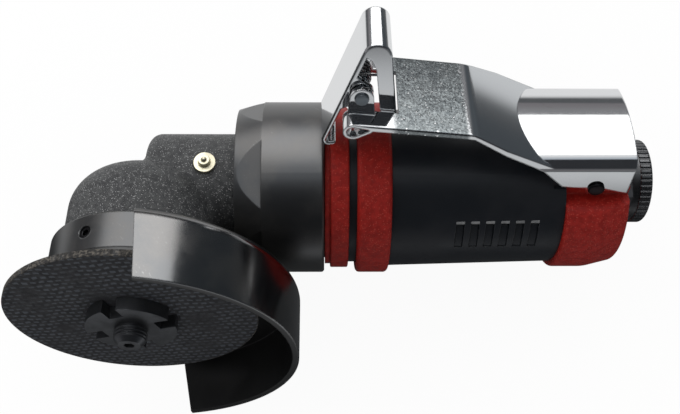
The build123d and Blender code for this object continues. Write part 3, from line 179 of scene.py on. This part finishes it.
def make_cast_skin():
    inputs = [("Scale", "NodeSocketFloat", 1500.0), ("Specks", "NodeSocketFloat", 0.1)]
    outputs = [("Height", "NodeSocketFloat"), ("Speck", "NodeSocketFloat"), ("Patch", "NodeSocketFloat")]
    tree, given, result = new_effect("cast_skin", inputs, outputs)
    place = surface_place(tree)
    lumps = noise(tree, place, given["Scale"], 4.0, 0.6)
    grains = add_node(tree, "ShaderNodeTexVoronoi", {"Vector": place, "Scale": given["Scale"]})
    tone = add_node(tree, "ShaderNodeSeparateColor", {0: grains.outputs["Color"]}).outputs[0]
    least = maths(tree, "SUBTRACT", 1.0, given["Specks"])
    bright = maths(tree, "GREATER_THAN", tone, least)
    round_off = ranged(tree, grains.outputs["Distance"], 0.55, 0.25)
    patch = noise(tree, place, maths(tree, "MULTIPLY", given["Scale"], 0.16), 3.0)
    tree.links.new(lumps, result["Height"])
    tree.links.new(maths(tree, "MULTIPLY", bright, round_off), result["Speck"])
    tree.links.new(ranged(tree, patch, 0.35, 0.65), result["Patch"])
    return tree


def make_handling():
    inputs = [("Scale", "NodeSocketFloat", 60.0)]
    outputs = [("Smudge", "NodeSocketFloat"), ("Scratch", "NodeSocketFloat")]
    tree, given, result = new_effect("handling", inputs, outputs)
    place = surface_place(tree)
    smudge = ranged(tree, noise(tree, place, given["Scale"], 5.0, 0.6), 0.38, 0.66)
    turned = add_node(tree, "ShaderNodeMapping", {"Vector": place, "Rotation": (0.5, 0.35, 0.8)})
    drawn = vector_maths(tree, "MULTIPLY", turned.outputs[0], (60.0, 2400.0, 2400.0))
    lines = noise(tree, drawn, 1.0, 1.0)
    rare = ranged(tree, noise(tree, place, 140.0, 2.0), 0.5, 0.7)
    scratch = maths(tree, "MULTIPLY", ranged(tree, lines, 0.68, 0.74), rare)
    tree.links.new(smudge, result["Smudge"])
    tree.links.new(scratch, result["Scratch"])
    return tree


def make_spangle():
    inputs = [
        ("Scale", "NodeSocketFloat", 2000.0),
        ("Tilt", "NodeSocketFloat", 0.2),
        ("Normal", "NodeSocketVector", (0.0, 0.0, 1.0)),
    ]
    outputs = [("Tone", "NodeSocketFloat"), ("Spark", "NodeSocketFloat"), ("Normal", "NodeSocketVector")]
    tree, given, result = new_effect("spangle", inputs, outputs)
    grains = add_node(tree, "ShaderNodeTexVoronoi", {"Vector": surface_place(tree), "Scale": given["Scale"]})
    way = vector_maths(tree, "SUBTRACT", grains.outputs["Color"], (0.5, 0.5, 0.5))
    parts = add_node(tree, "ShaderNodeSeparateColor", {0: grains.outputs["Color"]}).outputs
    tree.links.new(parts[0], result["Tone"])
    tree.links.new(maths(tree, "GREATER_THAN", parts[1], 0.985), result["Spark"])
    tree.links.new(leaned(tree, given["Normal"], way, given["Tilt"]), result["Normal"])
    return tree


def make_pressed_form():
    inputs = [
        ("Normal", "NodeSocketVector", (0.0, 0.0, 1.0)),
        ("Crown", "NodeSocketFloat", 0.0),
        ("Lean", "NodeSocketFloat", 0.0),
    ]
    outputs = [("Normal", "NodeSocketVector")]
    tree, given, result = new_effect("pressed_form", inputs, outputs)
    across = rearward.cross(lever_up)
    arm = vector_maths(tree, "SUBTRACT", surface_place(tree), head_centre)
    offside = vector_maths(tree, "DOT_PRODUCT", arm, across, result="Value")
    lean = maths(tree, "MULTIPLY_ADD", offside, given["Crown"], given["Lean"])
    tree.links.new(leaned(tree, given["Normal"], across, lean), result["Normal"])
    return tree


def make_turned():
    inputs = [
        ("Centre", "NodeSocketVector", (0.0, 0.0, 0.0)),
        ("Axis", "NodeSocketVector", (1.0, 0.0, 0.0)),
        ("Lines", "NodeSocketFloat", 4000.0),
    ]
    outputs = [
        ("Radius", "NodeSocketFloat"),
        ("Side Lines", "NodeSocketFloat"),
        ("Face Lines", "NodeSocketFloat"),
    ]
    tree, given, result = new_effect("turned", inputs, outputs)
    arm = vector_maths(tree, "SUBTRACT", surface_place(tree), given["Centre"])
    along = vector_maths(tree, "DOT_PRODUCT", arm, given["Axis"], result="Value")
    outward = vector_maths(tree, "CROSS_PRODUCT", arm, given["Axis"])
    radius = vector_maths(tree, "LENGTH", outward, result="Value")
    for distance, name in ((along, "Side Lines"), (radius, "Face Lines")):
        step = add_node(tree, "ShaderNodeCombineXYZ", {0: maths(tree, "MULTIPLY", distance, given["Lines"])})
        tree.links.new(noise(tree, step.outputs[0], 1.0, 2.0), result[name])
    tree.links.new(radius, result["Radius"])
    return tree


edge_wear = make_edge_wear()
cast_skin = make_cast_skin()
handling = make_handling()
spangle = make_spangle()
pressed_form = make_pressed_form()
turned = make_turned()


class Finish:
    """A material under way: its tree, its shader and the shared effects placed in it."""

    def __init__(self, name):
        self.material = bpy.data.materials.new(name)
        self.material.use_nodes = True
        self.tree = self.material.node_tree
        self.shader = self.tree.nodes["Principled BSDF"]

    def effect(self, group, **values):
        return add_node(self.tree, "ShaderNodeGroup", values, node_tree=group).outputs

    def set(self, **values):
        for name, value in values.items():
            socket = self.shader.inputs[name.replace("_", " ")]
            if isinstance(value, bpy.types.NodeSocket):
                self.tree.links.new(value, socket)
            else:
                socket.default_value = value

    def bump(self, height, strength, distance, normal):
        inputs = {"Height": height, "Strength": strength, "Distance": distance, "Normal": normal}
        self.set(Normal=add_node(self.tree, "ShaderNodeBump", inputs).outputs[0])


def grey(value, warm=0.0):
    return (value * (1 + warm), value, value * (1 - warm), 1.0)


# Rough black paint of the cast head
def make_cast_paint():
    finish = Finish("cast_black_paint")
    tree = finish.tree
    skin = finish.effect(cast_skin, Scale=3100.0, Specks=0.16)
    wear = finish.effect(edge_wear, Width=0.0012, Breakup=500.0)
    colour = mixed(tree, skin["Patch"], (0.026, 0.027, 0.029, 1), (0.048, 0.050, 0.051, 1))
    colour = mixed(tree, skin["Speck"], colour, grey(0.30))
    colour = mixed(tree, maths(tree, "MULTIPLY", wear["Mask"], 0.3), colour, grey(0.16))
    finish.set(Base_Color=colour, Roughness=ranged(tree, skin["Speck"], 0, 1, 0.48, 0.26))
    finish.bump(skin["Height"], 0.9, 0.0003, wear["Normal"])
    return finish.material


# Blackened steel of the clamp nut and the guard
def make_black_steel(name, tone, rough, centre, axis, worn, inner_shade_within=0.0):
    finish = Finish(name)
    tree = finish.tree
    lathe = finish.effect(turned, Centre=centre, Axis=axis, Lines=5200.0)
    hands = finish.effect(handling, Scale=70.0)
    wear = finish.effect(edge_wear, Width=0.0006, Breakup=600.0)
    colour = mixed(tree, hands["Smudge"], grey(tone, -0.02), grey(tone * 1.15, 0.02))
    colour = mixed(tree, hands["Scratch"], colour, grey(tone * 1.6))
    colour = mixed(tree, maths(tree, "MULTIPLY", wear["Mask"], worn), colour, grey(0.62))
    # Inside the given radius, on the guard's inner face, the colour is darkened as painted shade and the
    # finish is made rougher
    inner_shade_and_haze = ranged(tree, lathe["Radius"], inner_shade_within, inner_shade_within - 0.0004)
    colour = mixed(tree, inner_shade_and_haze, colour, grey(tone * 0.4))
    smear = ranged(tree, hands["Smudge"], 0, 1, rough, rough + 0.06)
    haze = maths(tree, "MULTIPLY_ADD", inner_shade_and_haze, 0.2, smear)
    finish.set(Base_Color=colour, Metallic=1.0, Roughness=haze)
    finish.bump(lathe["Side Lines"], 0.10, 0.00004, wear["Normal"])
    return finish.material


# Smooth black grip of the motor housing
def make_grip_black():
    finish = Finish("grip_black")
    tree = finish.tree
    skin = finish.effect(cast_skin, Scale=4200.0, Specks=0.03)
    hands = finish.effect(handling, Scale=55.0)
    wear = finish.effect(edge_wear, Width=0.0005, Breakup=700.0)
    colour = mixed(tree, hands["Smudge"], (0.0065, 0.0085, 0.0120, 1), (0.0092, 0.0110, 0.0148, 1))
    colour = mixed(tree, maths(tree, "MULTIPLY", skin["Speck"], 0.3), colour, grey(0.03))
    colour = mixed(tree, maths(tree, "MULTIPLY", wear["Mask"], 0.3), colour, grey(0.10))
    finish.set(Base_Color=colour, Roughness=ranged(tree, hands["Smudge"], 0, 1, 0.36, 0.46))
    finish.bump(skin["Height"], 0.10, 0.0001, wear["Normal"])
    return finish.material


# Grained red paint of the rings and the end cap
def make_red_paint():
    finish = Finish("grained_red_paint")
    tree = finish.tree
    skin = finish.effect(cast_skin, Scale=3600.0, Specks=0.09)
    wear = finish.effect(edge_wear, Width=0.0009, Breakup=500.0)
    colour = mixed(tree, skin["Patch"], (0.190, 0.0075, 0.0050, 1), (0.250, 0.0105, 0.0070, 1))
    colour = mixed(tree, skin["Speck"], colour, (0.42, 0.070, 0.048, 1))
    colour = mixed(tree, maths(tree, "MULTIPLY", wear["Mask"], 0.35), colour, (0.34, 0.055, 0.04, 1))
    finish.set(Base_Color=colour, Roughness=ranged(tree, skin["Patch"], 0, 1, 0.40, 0.54))
    finish.set(Specular_IOR_Level=0.18)
    finish.bump(skin["Height"], 0.6, 0.00022, wear["Normal"])
    return finish.material


# Bright plating of the lever and the latch; the lever's front plate shows the zinc's grains
def make_plating(name, rough, grained_from, grained_to, lean):
    finish = Finish(name)
    tree = finish.tree
    place = surface_place(tree)
    hands = finish.effect(handling, Scale=90.0)
    wear = finish.effect(edge_wear, Width=0.0006, Breakup=500.0)
    forward = add_node(tree, "ShaderNodeSeparateXYZ", {0: place}).outputs["X"]
    before_fold = ranged(tree, forward, grained_to + 0.0008, grained_to - 0.0008)
    behind_latch = ranged(tree, forward, grained_from - 0.0016, grained_from + 0.0016)
    plate = maths(tree, "MULTIPLY", before_fold, behind_latch)
    facing = add_node(tree, "ShaderNodeTexCoord").outputs["Normal"]
    slope = add_node(tree, "ShaderNodeSeparateXYZ", {0: facing}).outputs["X"]
    off_slope = maths(tree, "ABSOLUTE", maths(tree, "SUBTRACT", slope, 0.446))
    behind_fold = ranged(tree, before_fold, 1.0, 0.0)
    on_slope = maths(tree, "MULTIPLY", ranged(tree, off_slope, 0.10, 0.03), behind_fold)
    crown = maths(tree, "MULTIPLY", on_slope, 9.0)
    pressed = finish.effect(pressed_form, Normal=wear["Normal"], Crown=crown, Lean=lean)
    tilt = maths(tree, "MULTIPLY", plate, 0.05)
    zinc = finish.effect(spangle, Scale=2300.0, Tilt=tilt, Normal=pressed["Normal"])
    fine = finish.effect(cast_skin, Scale=2600.0, Specks=0.05)
    cloud = ranged(tree, noise(tree, place, 160.0, 3.0), 0.35, 0.65)
    zinc_tone = mixed(tree, cloud, (0.13, 0.148, 0.156, 1), (0.21, 0.23, 0.235, 1))
    zinc_tone = mixed(tree, zinc["Tone"], zinc_tone, (0.30, 0.325, 0.33, 1))
    zinc_tone = mixed(tree, zinc["Spark"], zinc_tone, (0.95, 0.96, 0.96, 1))
    colour = mixed(tree, on_slope, (0.78, 0.79, 0.80, 1), (0.58, 0.60, 0.62, 1))
    colour = mixed(tree, plate, colour, zinc_tone)
    colour = mixed(tree, maths(tree, "MULTIPLY", hands["Scratch"], 0.35), colour, grey(0.40))
    brushed = maths(tree, "MAXIMUM", plate, on_slope)
    haze = maths(tree, "MAXIMUM", brushed, maths(tree, "MULTIPLY", hands["Smudge"], 0.35))
    finish.set(Base_Color=colour, Metallic=1.0, Roughness=ranged(tree, haze, 0, 1, rough, 0.17))
    finish.bump(fine["Height"], 0.03, 0.00005, zinc["Normal"])
    return finish.material


# Cutting wheel: bonded grit over a glass-fibre net
def make_wheel_bond():
    finish = Finish("bonded_grit")
    tree = finish.tree
    disc = finish.effect(turned, Centre=head_centre, Axis=wheelward, Lines=900.0)
    grit = finish.effect(cast_skin, Scale=3400.0, Specks=0.10)
    arm = vector_maths(tree, "SUBTRACT", surface_place(tree), head_centre)
    turn = math.radians(9.0)
    weft = rearward * math.cos(turn) + nearward * math.sin(turn)
    warp = nearward * math.cos(turn) - rearward * math.sin(turn)
    along = vector_maths(tree, "DOT_PRODUCT", arm, weft, result="Value")
    over = vector_maths(tree, "DOT_PRODUCT", arm, warp, result="Value")
    wander = maths(tree, "MULTIPLY", noise(tree, arm, 150.0, 3.0), 1.6)
    row = maths(tree, "ADD", maths(tree, "DIVIDE", over, net_row), wander)
    odd = maths(tree, "MULTIPLY", maths(tree, "FLOOR", row), 0.37)
    step = maths(tree, "ADD", maths(tree, "DIVIDE", along, net_step), odd)
    threads = None
    for place, least, most in ((row, 0.30, 0.12), (step, 0.40, 0.24)):
        off = maths(tree, "ABSOLUTE", maths(tree, "SUBTRACT", maths(tree, "FRACT", place), 0.5))
        band = ranged(tree, off, least, most)
        threads = band if threads is None else maths(tree, "MULTIPLY", threads, band)
    bare = ranged(tree, noise(tree, arm, 70.0, 3.0), 0.25, 0.52)
    threads = maths(tree, "MULTIPLY", threads, bare)
    colour = mixed(tree, grit["Patch"], (0.020, 0.0205, 0.0235, 1), (0.034, 0.0345, 0.038, 1))
    colour = mixed(tree, maths(tree, "MULTIPLY", threads, 0.7), colour, (0.070, 0.081, 0.098, 1))
    colour = mixed(tree, maths(tree, "MULTIPLY", grit["Speck"], 0.5), colour, grey(0.07))
    worn_rim = ranged(tree, disc["Radius"], wheel_radius - 0.0005, wheel_radius)
    crumbs = ranged(tree, noise(tree, arm, 1300.0, 4.0, 0.7), 0.46, 0.62)
    rim_colour = mixed(tree, crumbs, (0.020, 0.019, 0.018, 1), (0.115, 0.102, 0.086, 1))
    colour = mixed(tree, maths(tree, "MULTIPLY", worn_rim, 0.85), colour, rim_colour)
    finish.set(Base_Color=colour, Roughness=ranged(tree, threads, 0, 1, 0.75, 0.42))
    finish.set(Specular_IOR_Level=0.3)
    height = maths(tree, "ADD", threads, maths(tree, "MULTIPLY", grit["Height"], 0.7))
    normal = finish.effect(edge_wear, Width=0.0003)["Normal"]
    finish.bump(height, 0.5, 0.0002, normal)
    return finish.material


# Plain machined metals
def make_machined(name, colour, rough, centre, axis, lines=3600.0, metal=1.0, shade=0.72):
    finish = Finish(name)
    lathe = finish.effect(turned, Centre=centre, Axis=axis, Lines=lines)
    hands = finish.effect(handling, Scale=120.0)
    wear = finish.effect(edge_wear, Width=0.0003, Breakup=900.0)
    darker = tuple(value * shade for value in colour)
    base = mixed(finish.tree, hands["Smudge"], (*colour, 1), (*darker, 1))
    light = tuple(min(1.0, value * 1.5 + 0.05) for value in colour)
    base = mixed(finish.tree, maths(finish.tree, "MULTIPLY", wear["Mask"], 0.6), base, (*light, 1))
    finish.set(Base_Color=base, Metallic=metal)
    finish.set(Roughness=ranged(finish.tree, hands["Smudge"], 0, 1, rough, rough + 0.14))
    lines_height = maths(finish.tree, "ADD", lathe["Side Lines"], lathe["Face Lines"])
    finish.bump(lines_height, 0.18, 0.00004, wear["Normal"])
    return finish.material


# Moulded and pressed materials without metal
def make_moulded(name, dark, light, rough, scale):
    finish = Finish(name)
    skin = finish.effect(cast_skin, Scale=scale, Specks=0.05)
    wear = finish.effect(edge_wear, Width=0.0004, Breakup=800.0)
    colour = mixed(finish.tree, skin["Patch"], (*dark, 1), (*light, 1))
    rubbed = tuple(min(1.0, value * 2.2 + 0.02) for value in light)
    colour = mixed(finish.tree, maths(finish.tree, "MULTIPLY", wear["Mask"], 0.5), colour, (*rubbed, 1))
    finish.set(Base_Color=colour, Roughness=ranged(finish.tree, skin["Patch"], 0, 1, rough, rough + 0.12))
    finish.bump(skin["Height"], 0.2, 0.00015, wear["Normal"])
    return finish.material


finishes = {
    make_cast_paint(): ["head_casting"],
    make_black_steel("clamp_nut_black", 0.155, 0.36, head_centre, rearward, 0.15): ["clamp_nut"],
    make_black_steel("collar_black", 0.13, 0.30, head_centre, wheelward, 0.25): ["guard_collar"],
    make_black_steel("guard_black", 0.20, 0.15, head_centre, wheelward, 0.35, guard_face_radius): [
        "guard_shell",
    ],
    make_grip_black(): ["motor_housing"],
    make_red_paint(): ["narrow_ring", "wide_ring", "end_cap"],
    make_plating("lever_plating", 0.07, latch_place, fold_place, 0.0): ["throttle_lever"],
    make_plating("latch_plating", 0.06, head_centre.x, head_centre.x, 0.09): ["safety_latch"],
    make_wheel_bond(): ["cutting_wheel"],
    make_machined("spindle_steel", (0.18, 0.185, 0.195), 0.36, head_centre, wheelward): [
        "spindle", "flange_nut", "inner_flange", "driven_gear", "gear_clip", "bearing_spacer",
        "bearing_retainer",
    ],
    make_machined("nipple_plating", (0.92, 0.86, 0.66), 0.34, head_centre, rearward): ["grease_nipple"],
    make_machined("black_screw_steel", (0.03, 0.03, 0.033), 0.32, head_centre, rearward): [
        "guard_screw", "lever_pin", "pinion_screw",
    ],
    make_machined("latch_pin_steel", (0.30, 0.335, 0.365), 0.42, head_centre, rearward): ["latch_pin"],
    make_machined("inlet_steel", (0.10, 0.10, 0.105), 0.38, inlet_centre, rearward): ["inlet_bushing"],
    make_machined("shaft_steel", (0.50, 0.50, 0.51), 0.26, head_centre, rearward): [
        "rotor", "pinion", "pinion_spacer", "liner_dowel", "valve_stem", "latch_spring", "valve_spring",
    ],
    make_machined("bearing_steel", (0.62, 0.62, 0.63), 0.18, head_centre, rearward): [
        "pinion_bearing", "pinion_race", "rotor_front_bearing", "rotor_front_race", "rotor_rear_bearing",
        "rotor_rear_race",
    ],
    make_machined("spindle_bearing_steel", (0.62, 0.62, 0.63), 0.18, head_centre, wheelward): [
        "spindle_upper_bearing", "spindle_upper_race", "spindle_lower_bearing", "spindle_lower_race",
    ],
    make_machined("liner_iron", (0.09, 0.09, 0.09), 0.40, head_centre, rearward): [
        "cylinder_liner", "front_end_plate", "rear_end_plate",
    ],
    make_machined("valve_alloy", (0.58, 0.585, 0.59), 0.36, head_centre, rearward): ["valve_body"],
    make_machined("valve_brass", (0.68, 0.50, 0.22), 0.28, head_centre, lever_up): [
        "valve_bushing", "inlet_screen",
    ],
    make_machined("regulator_black", (0.15, 0.152, 0.156), 0.26, inlet_centre, rearward): ["regulator_ring"],
    make_moulded("vane_fibre", (0.16, 0.10, 0.055), (0.24, 0.16, 0.09), 0.55, 1500.0): ["rotor_vanes"],
    make_moulded("seal_rubber", (0.014, 0.014, 0.014), (0.022, 0.022, 0.022), 0.6, 2000.0): [
        "shaft_seal", "valve_seal",
    ],
}
for material, names in finishes.items():
    for name in names:
        mesh = nodes[name].data
        mesh.materials.clear()
        mesh.materials.append(material)


# Fine pieces on the solids
def skin_rows(mesh, rows):
    """Faces between neighbouring rows of points, and one at each end."""
    for first, second in zip(rows, rows[1:]):
        for index in range(len(first)):
            after = (index + 1) % len(first)
            mesh.faces.new((first[index], first[after], second[after], second[index]))
    mesh.faces.new(rows[0])
    mesh.faces.new(rows[-1][::-1])


def add_piece(name, mesh, body, material):
    bmesh.ops.recalc_face_normals(mesh, faces=mesh.faces)
    data = bpy.data.meshes.new(name)
    mesh.to_mesh(data)
    mesh.free()
    data.materials.append(material)
    piece = bpy.data.objects.new(name, data)
    bpy.context.scene.collection.objects.link(piece)
    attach(piece, body)


# Screw threads that stand on the spindle's end and in the inlet's mouth
def screw_thread(name, start, axis, side, radius, height, pitch, turns, body, material):
    across = axis.cross(side)
    mesh = bmesh.new()
    steps = 48
    rows = []
    for index in range(int(turns * steps) + 1):
        angle = 2 * math.pi * index / steps
        out = side * math.cos(angle) + across * math.sin(angle)
        fade = min(1.0, index / 20, (turns * steps - index) / 20)
        centre = start + axis * (pitch * index / steps)
        crest = radius + height * fade
        root = radius - height * 0.4
        profile = [(-0.42, root), (-0.10, crest), (0.10, crest), (0.42, root)]
        places = [centre + axis * (pitch * shift) + out * reach for shift, reach in profile]
        rows.append([mesh.verts.new(place) for place in places])
    skin_rows(mesh, rows)
    add_piece(name, mesh, body, material)


screw_thread(
    "spindle_thread", head_centre + wheelward * 0.0515, wheelward, rearward, spindle_thread_radius,
    0.00025, 0.0011, 2.7, "spindle", nodes["spindle"].data.materials[0],
)
screw_thread(
    "inlet_thread", inlet_centre - rearward * 0.0125, rearward, nearward, inlet_thread_radius,
    -0.00022, 0.0014, 8.0, "motor", nodes["inlet_bushing"].data.materials[0],
)


# Exhaust louvres: a ramp in each slot of the housing, and above it a light grey lip that is a painted
# highlight on the slot's edge
def housing_reach(x):
    """The housing's radius beside the slot at x."""
    start = head_centre + rearward * (x + slot_pitch / 2) + slot_out * 0.1
    depsgraph = bpy.context.evaluated_depsgraph_get()
    place = nodes["motor_housing"].ray_cast(start, -slot_out, depsgraph=depsgraph)[1]
    return 0.1 - (place - start).length


def slot_point(x, sideways, along, lift):
    """A place in the slot at x: along it, round the housing, and above the housing's face."""
    centre = head_centre + rearward * (x + sideways)
    height = math.sqrt(housing_reach(x)**2 - along**2) + lift
    return centre + slot_over * along + slot_out * height


def slot_strip(mesh, x, half, profile):
    """A strip across one slot, with a bevelled top, from its profile of places along and lifts."""
    rows = []
    for along, lift, thick in profile:
        sides = [(-half, lift - thick), (-half, lift - 0.1 * thick), (-0.85 * half, lift)]
        ring = sides + [(-sideways, rise) for sideways, rise in reversed(sides)]
        rows.append([mesh.verts.new(slot_point(x, sideways, along, rise)) for sideways, rise in ring])
    skin_rows(mesh, rows)


def make_louvres(name, half, profile, material):
    mesh = bmesh.new()
    for index in range(slot_count):
        slot_strip(mesh, slot_middle + slot_pitch * (index - (slot_count - 1) / 2), half, profile)
    add_piece(name, mesh, "motor", material)


ramp_profile = [(-0.0036 + 0.0083 * step / 8, -0.0008 + 0.0006 * step / 8, 0.0008) for step in range(9)]
lip_profile = [
    (-0.00545, -0.00006, 0.0003), (-0.00535, 0.00008, 0.0004), (-0.0050, 0.00016, 0.0005),
    (-0.0046, 0.00012, 0.0005), (-0.00445, 0.00002, 0.0004),
]
make_louvres("slot_ramps", 0.00128, ramp_profile, nodes["motor_housing"].data.materials[0])
# The lips' light grey is a painted highlight on the slots' upper edges
slot_edge_highlight = make_moulded("painted_highlight_slot_edge", (0.10, 0.103, 0.107), (0.15, 0.153, 0.157), 0.45, 2600.0)
make_louvres("slot_lips", 0.00134, lip_profile, slot_edge_highlight)


# Pale table, white surroundings and soft lamps
def make_table():
    mesh = bmesh.new()
    bmesh.ops.create_grid(mesh, x_segments=2, y_segments=2, size=4.0)
    data = bpy.data.meshes.new("table")
    mesh.to_mesh(data)
    mesh.free()
    table = bpy.data.objects.new("table", data)
    table.location = (middle.x, middle.y, table_height - 0.0002)
    bpy.context.scene.collection.objects.link(table)
    material = bpy.data.materials.new("white_table")
    material.use_nodes = True
    tree = material.node_tree
    shader = tree.nodes["Principled BSDF"]
    shader.inputs["Base Color"].default_value = grey(0.86)
    shader.inputs["Roughness"].default_value = 0.9
    place = surface_place(tree)
    far = vector_maths(tree, "LENGTH", place, result="Value")
    aside = add_node(tree, "ShaderNodeSeparateXYZ", {0: place}).outputs["Y"]
    # What reflections see of the table, as glow: darker towards the near side as painted shade, a painted
    # shadow of the tool in a band beside it, and a fade to dark far away as painted shade
    mirrored_painted_shade = mixed(tree, ranged(tree, aside, 0.02, -0.06), grey(0.85), grey(0.58, -0.02))
    shaded = maths(tree, "MULTIPLY", ranged(tree, aside, 0.035, -0.01), ranged(tree, aside, -0.165, -0.11))
    mirrored_painted_shade = mixed(tree, shaded, mirrored_painted_shade, grey(0.06, -0.04))
    mirrored_painted_shade = mixed(tree, ranged(tree, far, 0.26, 0.50), mirrored_painted_shade, (0.10, 0.105, 0.11, 1))
    white = add_node(tree, "ShaderNodeEmission", {"Color": grey(1.0), "Strength": 1.0})
    sheet = add_node(tree, "ShaderNodeEmission", {"Color": mirrored_painted_shade, "Strength": 1.0})
    rays = add_node(tree, "ShaderNodeLightPath").outputs
    seen = maths(tree, "MULTIPLY", rays["Is Camera Ray"], 0.94)
    shiny = maths(tree, "MAXIMUM", rays["Is Glossy Ray"], rays["Is Transmission Ray"])
    look = add_node(tree, "ShaderNodeMixShader", {0: seen, 1: shader.outputs[0], 2: white.outputs[0]})
    blend = add_node(tree, "ShaderNodeMixShader", {0: shiny, 1: look.outputs[0], 2: sheet.outputs[0]})
    tree.links.new(blend.outputs[0], tree.nodes["Material Output"].inputs["Surface"])
    data.materials.append(material)


def make_surroundings():
    world = bpy.data.worlds.new("studio")
    world.use_nodes = True
    bpy.context.scene.world = world
    tree = world.node_tree
    direction = add_node(tree, "ShaderNodeTexCoord").outputs["Generated"]
    parts = add_node(tree, "ShaderNodeSeparateXYZ", {0: direction}).outputs
    walls = mixed(tree, ranged(tree, parts["Z"], 0.02, 0.20), (0.20, 0.19, 0.20, 1), (0.26, 0.262, 0.27, 1))
    walls = mixed(tree, ranged(tree, parts["X"], 0.36, 0.50), walls, (0.075, 0.085, 0.095, 1))
    overhead = vector_maths(tree, "DOT_PRODUCT", direction, (0.0, -0.55, 0.835), result="Value")
    room = mixed(tree, ranged(tree, overhead, 0.45, 0.80), walls, (0.030, 0.032, 0.036, 1))
    sky = mixed(tree, ranged(tree, parts["Y"], 0.52, 0.05), grey(0.95), (0.46, 0.50, 0.55, 1))
    steep = ranged(tree, parts["Z"], 0.80, 0.84)
    skyward = maths(tree, "MULTIPLY", steep, ranged(tree, parts["Y"], -0.02, 0.04))
    room = mixed(tree, skyward, room, sky)
    rays = add_node(tree, "ShaderNodeLightPath").outputs
    shiny = maths(tree, "MAXIMUM", rays["Is Glossy Ray"], rays["Is Transmission Ray"])
    around = mixed(tree, shiny, grey(0.66), room)
    around = mixed(tree, rays["Is Camera Ray"], around, grey(1.0))
    tree.nodes["Background"].inputs["Strength"].default_value = 1.0
    tree.links.new(around, tree.nodes["Background"].inputs["Color"])


def add_lamp(name, place, aim, width, height, power):
    data = bpy.data.lights.new(name, "AREA")
    data.shape = "RECTANGLE"
    data.size = width
    data.size_y = height
    data.energy = power
    lamp = bpy.data.objects.new(name, data)
    lamp.location = place
    lamp.rotation_euler = (aim - place).to_track_quat("-Z", "Y").to_euler()
    bpy.context.scene.collection.objects.link(lamp)
    return lamp


place_camera()
make_table()
make_surroundings()
add_lamp("window_lamp", middle + Vector((-0.073, 0.777, 0.615)), middle, 1.24, 0.80, 5.66)
add_lamp("front_lamp", middle + Vector((-0.75, 0.30, 0.50)), middle, 0.60, 0.60, 3.0).visible_glossy = False

bpy.context.scene.view_settings.view_transform = "Standard"
